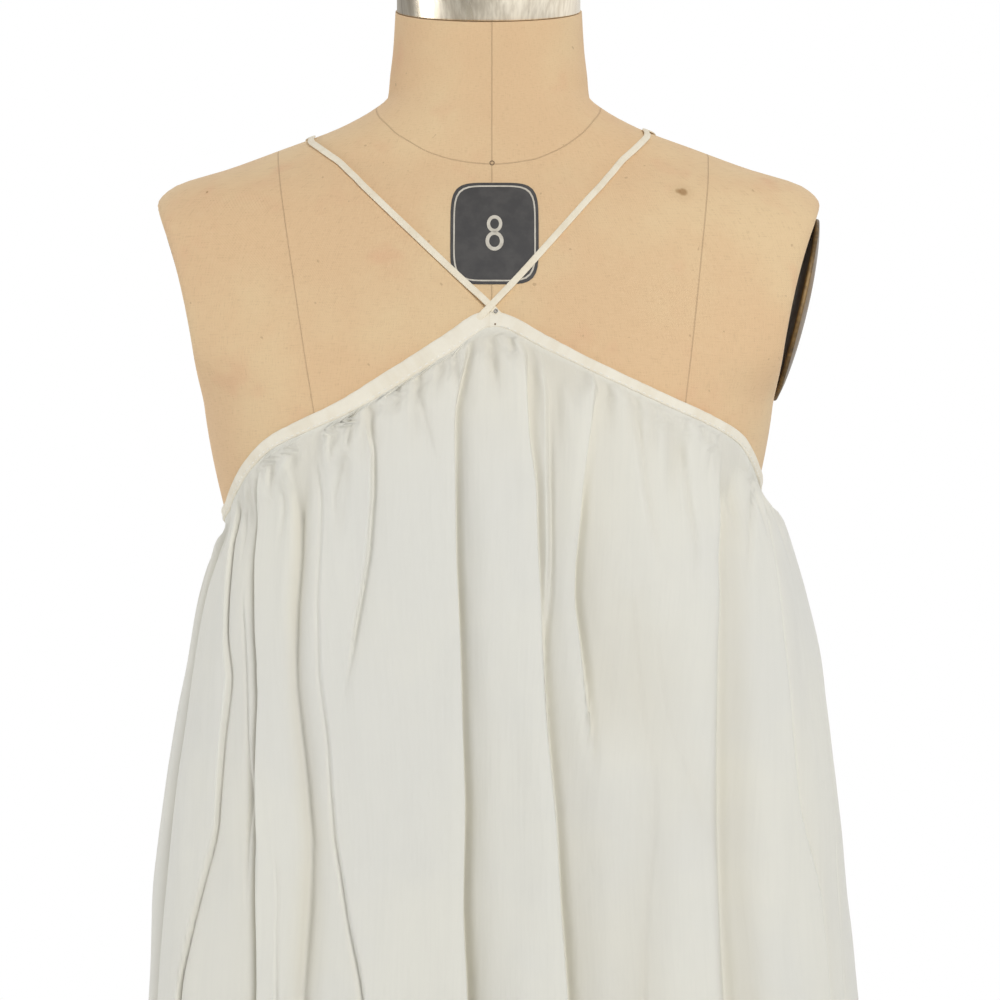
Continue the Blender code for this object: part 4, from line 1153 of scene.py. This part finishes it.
def roundedHalf(turn, halfWide, halfTall, power):
    return (np.abs(np.cos(turn) / halfWide)**power + np.abs(np.sin(turn) / halfTall)**power)**(-1 / power)


def surfaceRing(centre, inner, outer, lift, thick, power=2.0):
    # a flat ring on the form between two ovals given by their half sizes
    def place(u, v):
        turn = 2 * np.pi * u
        near = roundedHalf(turn, inner[0], inner[1], power)
        far = roundedHalf(turn, outer[0], outer[1], power)
        reach = near + (far - near) * v
        return onFront(centre[0] + reach * np.cos(turn), centre[1] + reach * np.sin(turn), lift)

    bm = mappedGrid(64, 3, place, lambda u, v: (u * 0.1, v * 0.01), closed=True)
    bmesh.ops.recalc_face_normals(bm, faces=bm.faces)
    bm.faces.ensure_lookup_table()
    if bm.faces[0].normal.y > 0:
        bmesh.ops.reverse_faces(bm, faces=bm.faces)
    bmesh.ops.solidify(bm, geom=bm.faces, thickness=thick)
    return bm


def makeLabel():
    look = labelLook
    x, z, wide, tall, corner = look["x"], look["z"], look["halfWide"], look["halfTall"], look["corner"]
    paper = surfaceRing((x, z), (0.01 * mm, 0.01 * mm), (wide, tall), look["lift"], look["thick"], corner)
    addPiece("sizeLabel", paper, labelPaper)
    border = [(wide - inset, tall - inset) for inset in look["border"]]
    rings = [((x, z), *border, corner)]
    rings += [((x, z + up), inner, outer, 2.0) for up, inner, outer in look["loops"]]
    for k, (middle, inner, outer, power) in enumerate(rings):
        ring = surfaceRing(middle, inner, outer, look["inkLift"], look["inkThick"], power)
        addPiece("labelMark" + str(k + 1), ring, labelInk)


makeLabel()

tackAndSpotLooks = {
    "neckTack": {"at": (0.0021, 1.3531), "inner": 0.9 * mm, "outer": 1.4 * mm, "lift": 0.2 * mm,
                 "material": darkThread},
    "crossTack": {"at": (0.0042, 1.2685), "inner": 0.5 * mm, "outer": 1.1 * mm, "lift": 3.9 * mm,
                  "material": poleMetal},
    # a small dark spot on the binding between the two straps
    "bandDarkSpot": {"at": (0.0038, 1.2612), "inner": 0.05 * mm, "outer": 0.5 * mm, "lift": 2.4 * mm,
                 "material": darkThread},
}
for name, look in tackAndSpotLooks.items():
    ring = surfaceRing(look["at"], (look["inner"],) * 2, (look["outer"],) * 2, look["lift"], 0.35 * mm)
    addPiece(name, ring, look["material"])
print("label and tacks made")


# Camera, light and floor

cameraLook = {"place": (0.0065, -1.70, 1.1665), "lens": 106.6, "sensor": 36}
camera = bpy.data.objects.new("camera", bpy.data.cameras.new("camera"))
bpy.context.scene.collection.objects.link(camera)
camera.location = cameraLook["place"]
camera.rotation_euler = (math.pi / 2, 0, 0)
camera.data.lens = cameraLook["lens"]
camera.data.sensor_width = cameraLook["sensor"]
camera.data.clip_end = 60
bpy.context.scene.camera = camera
bpy.context.scene.view_settings.view_transform = "Standard"

# The room is darker in front of the dress than behind it, metal mirrors one that is darker on the
# left, and the camera sees it white
studioLook = {"front": 0.25, "behind": 1.15, "mirrored": (0.25, 1.20), "backdrop": 1.0, "aim": (0, 0, 1.1)}
lightLooks = [
    {"name": "key", "place": (0.80, -2.4, 2.2), "size": 1.1, "power": 44.5},
    {"name": "left", "place": (-2.5, -0.3, 1.1), "size": 1.1, "power": 17},
]
for look in lightLooks:
    data = bpy.data.lights.new(look["name"], "AREA")
    data.size = look["size"]
    data.energy = look["power"]
    lamp = bpy.data.objects.new(look["name"], data)
    bpy.context.scene.collection.objects.link(lamp)
    lamp.location = look["place"]
    aim = Vector(studioLook["aim"]) - Vector(look["place"])
    lamp.rotation_euler = aim.to_track_quat("-Z", "Y").to_euler()

world = bpy.data.worlds.new("studio")
bpy.context.scene.world = world
world.use_nodes = True
room = world.node_tree
sky = room.nodes["Background"]
sky.inputs[0].default_value = (1, 1, 1, 1)
rays = addNode(room, "ShaderNodeLightPath").outputs
way = addNode(room, "ShaderNodeSeparateXYZ", {0: addNode(room, "ShaderNodeTexCoord").outputs["Generated"]})
around = ramp(room, way.outputs[1], -0.5, 0.8, studioLook["front"], studioLook["behind"])
mirrored = ramp(room, way.outputs[0], -1, 1, *studioLook["mirrored"])
around = addNode(room, "ShaderNodeMix", {0: rays["Is Glossy Ray"], 2: around, 3: mirrored}).outputs[0]
seen = addNode(room, "ShaderNodeMix", {0: rays["Is Camera Ray"], 2: around, 3: studioLook["backdrop"]})
room.links.new(seen.outputs[0], sky.inputs[1])

floorMesh = bmesh.new()
bmesh.ops.create_circle(floorMesh, cap_ends=True, segments=128, radius=4.9)
floorData = bpy.data.meshes.new("floor")
floorMesh.to_mesh(floorData)
floorMesh.free()
floorData.materials.append(floorPaint)
floor = bpy.data.objects.new("floor", floorData)
bpy.context.scene.collection.objects.link(floor)
floor.location = (0, 0, -0.001)
print("camera, light and floor made")
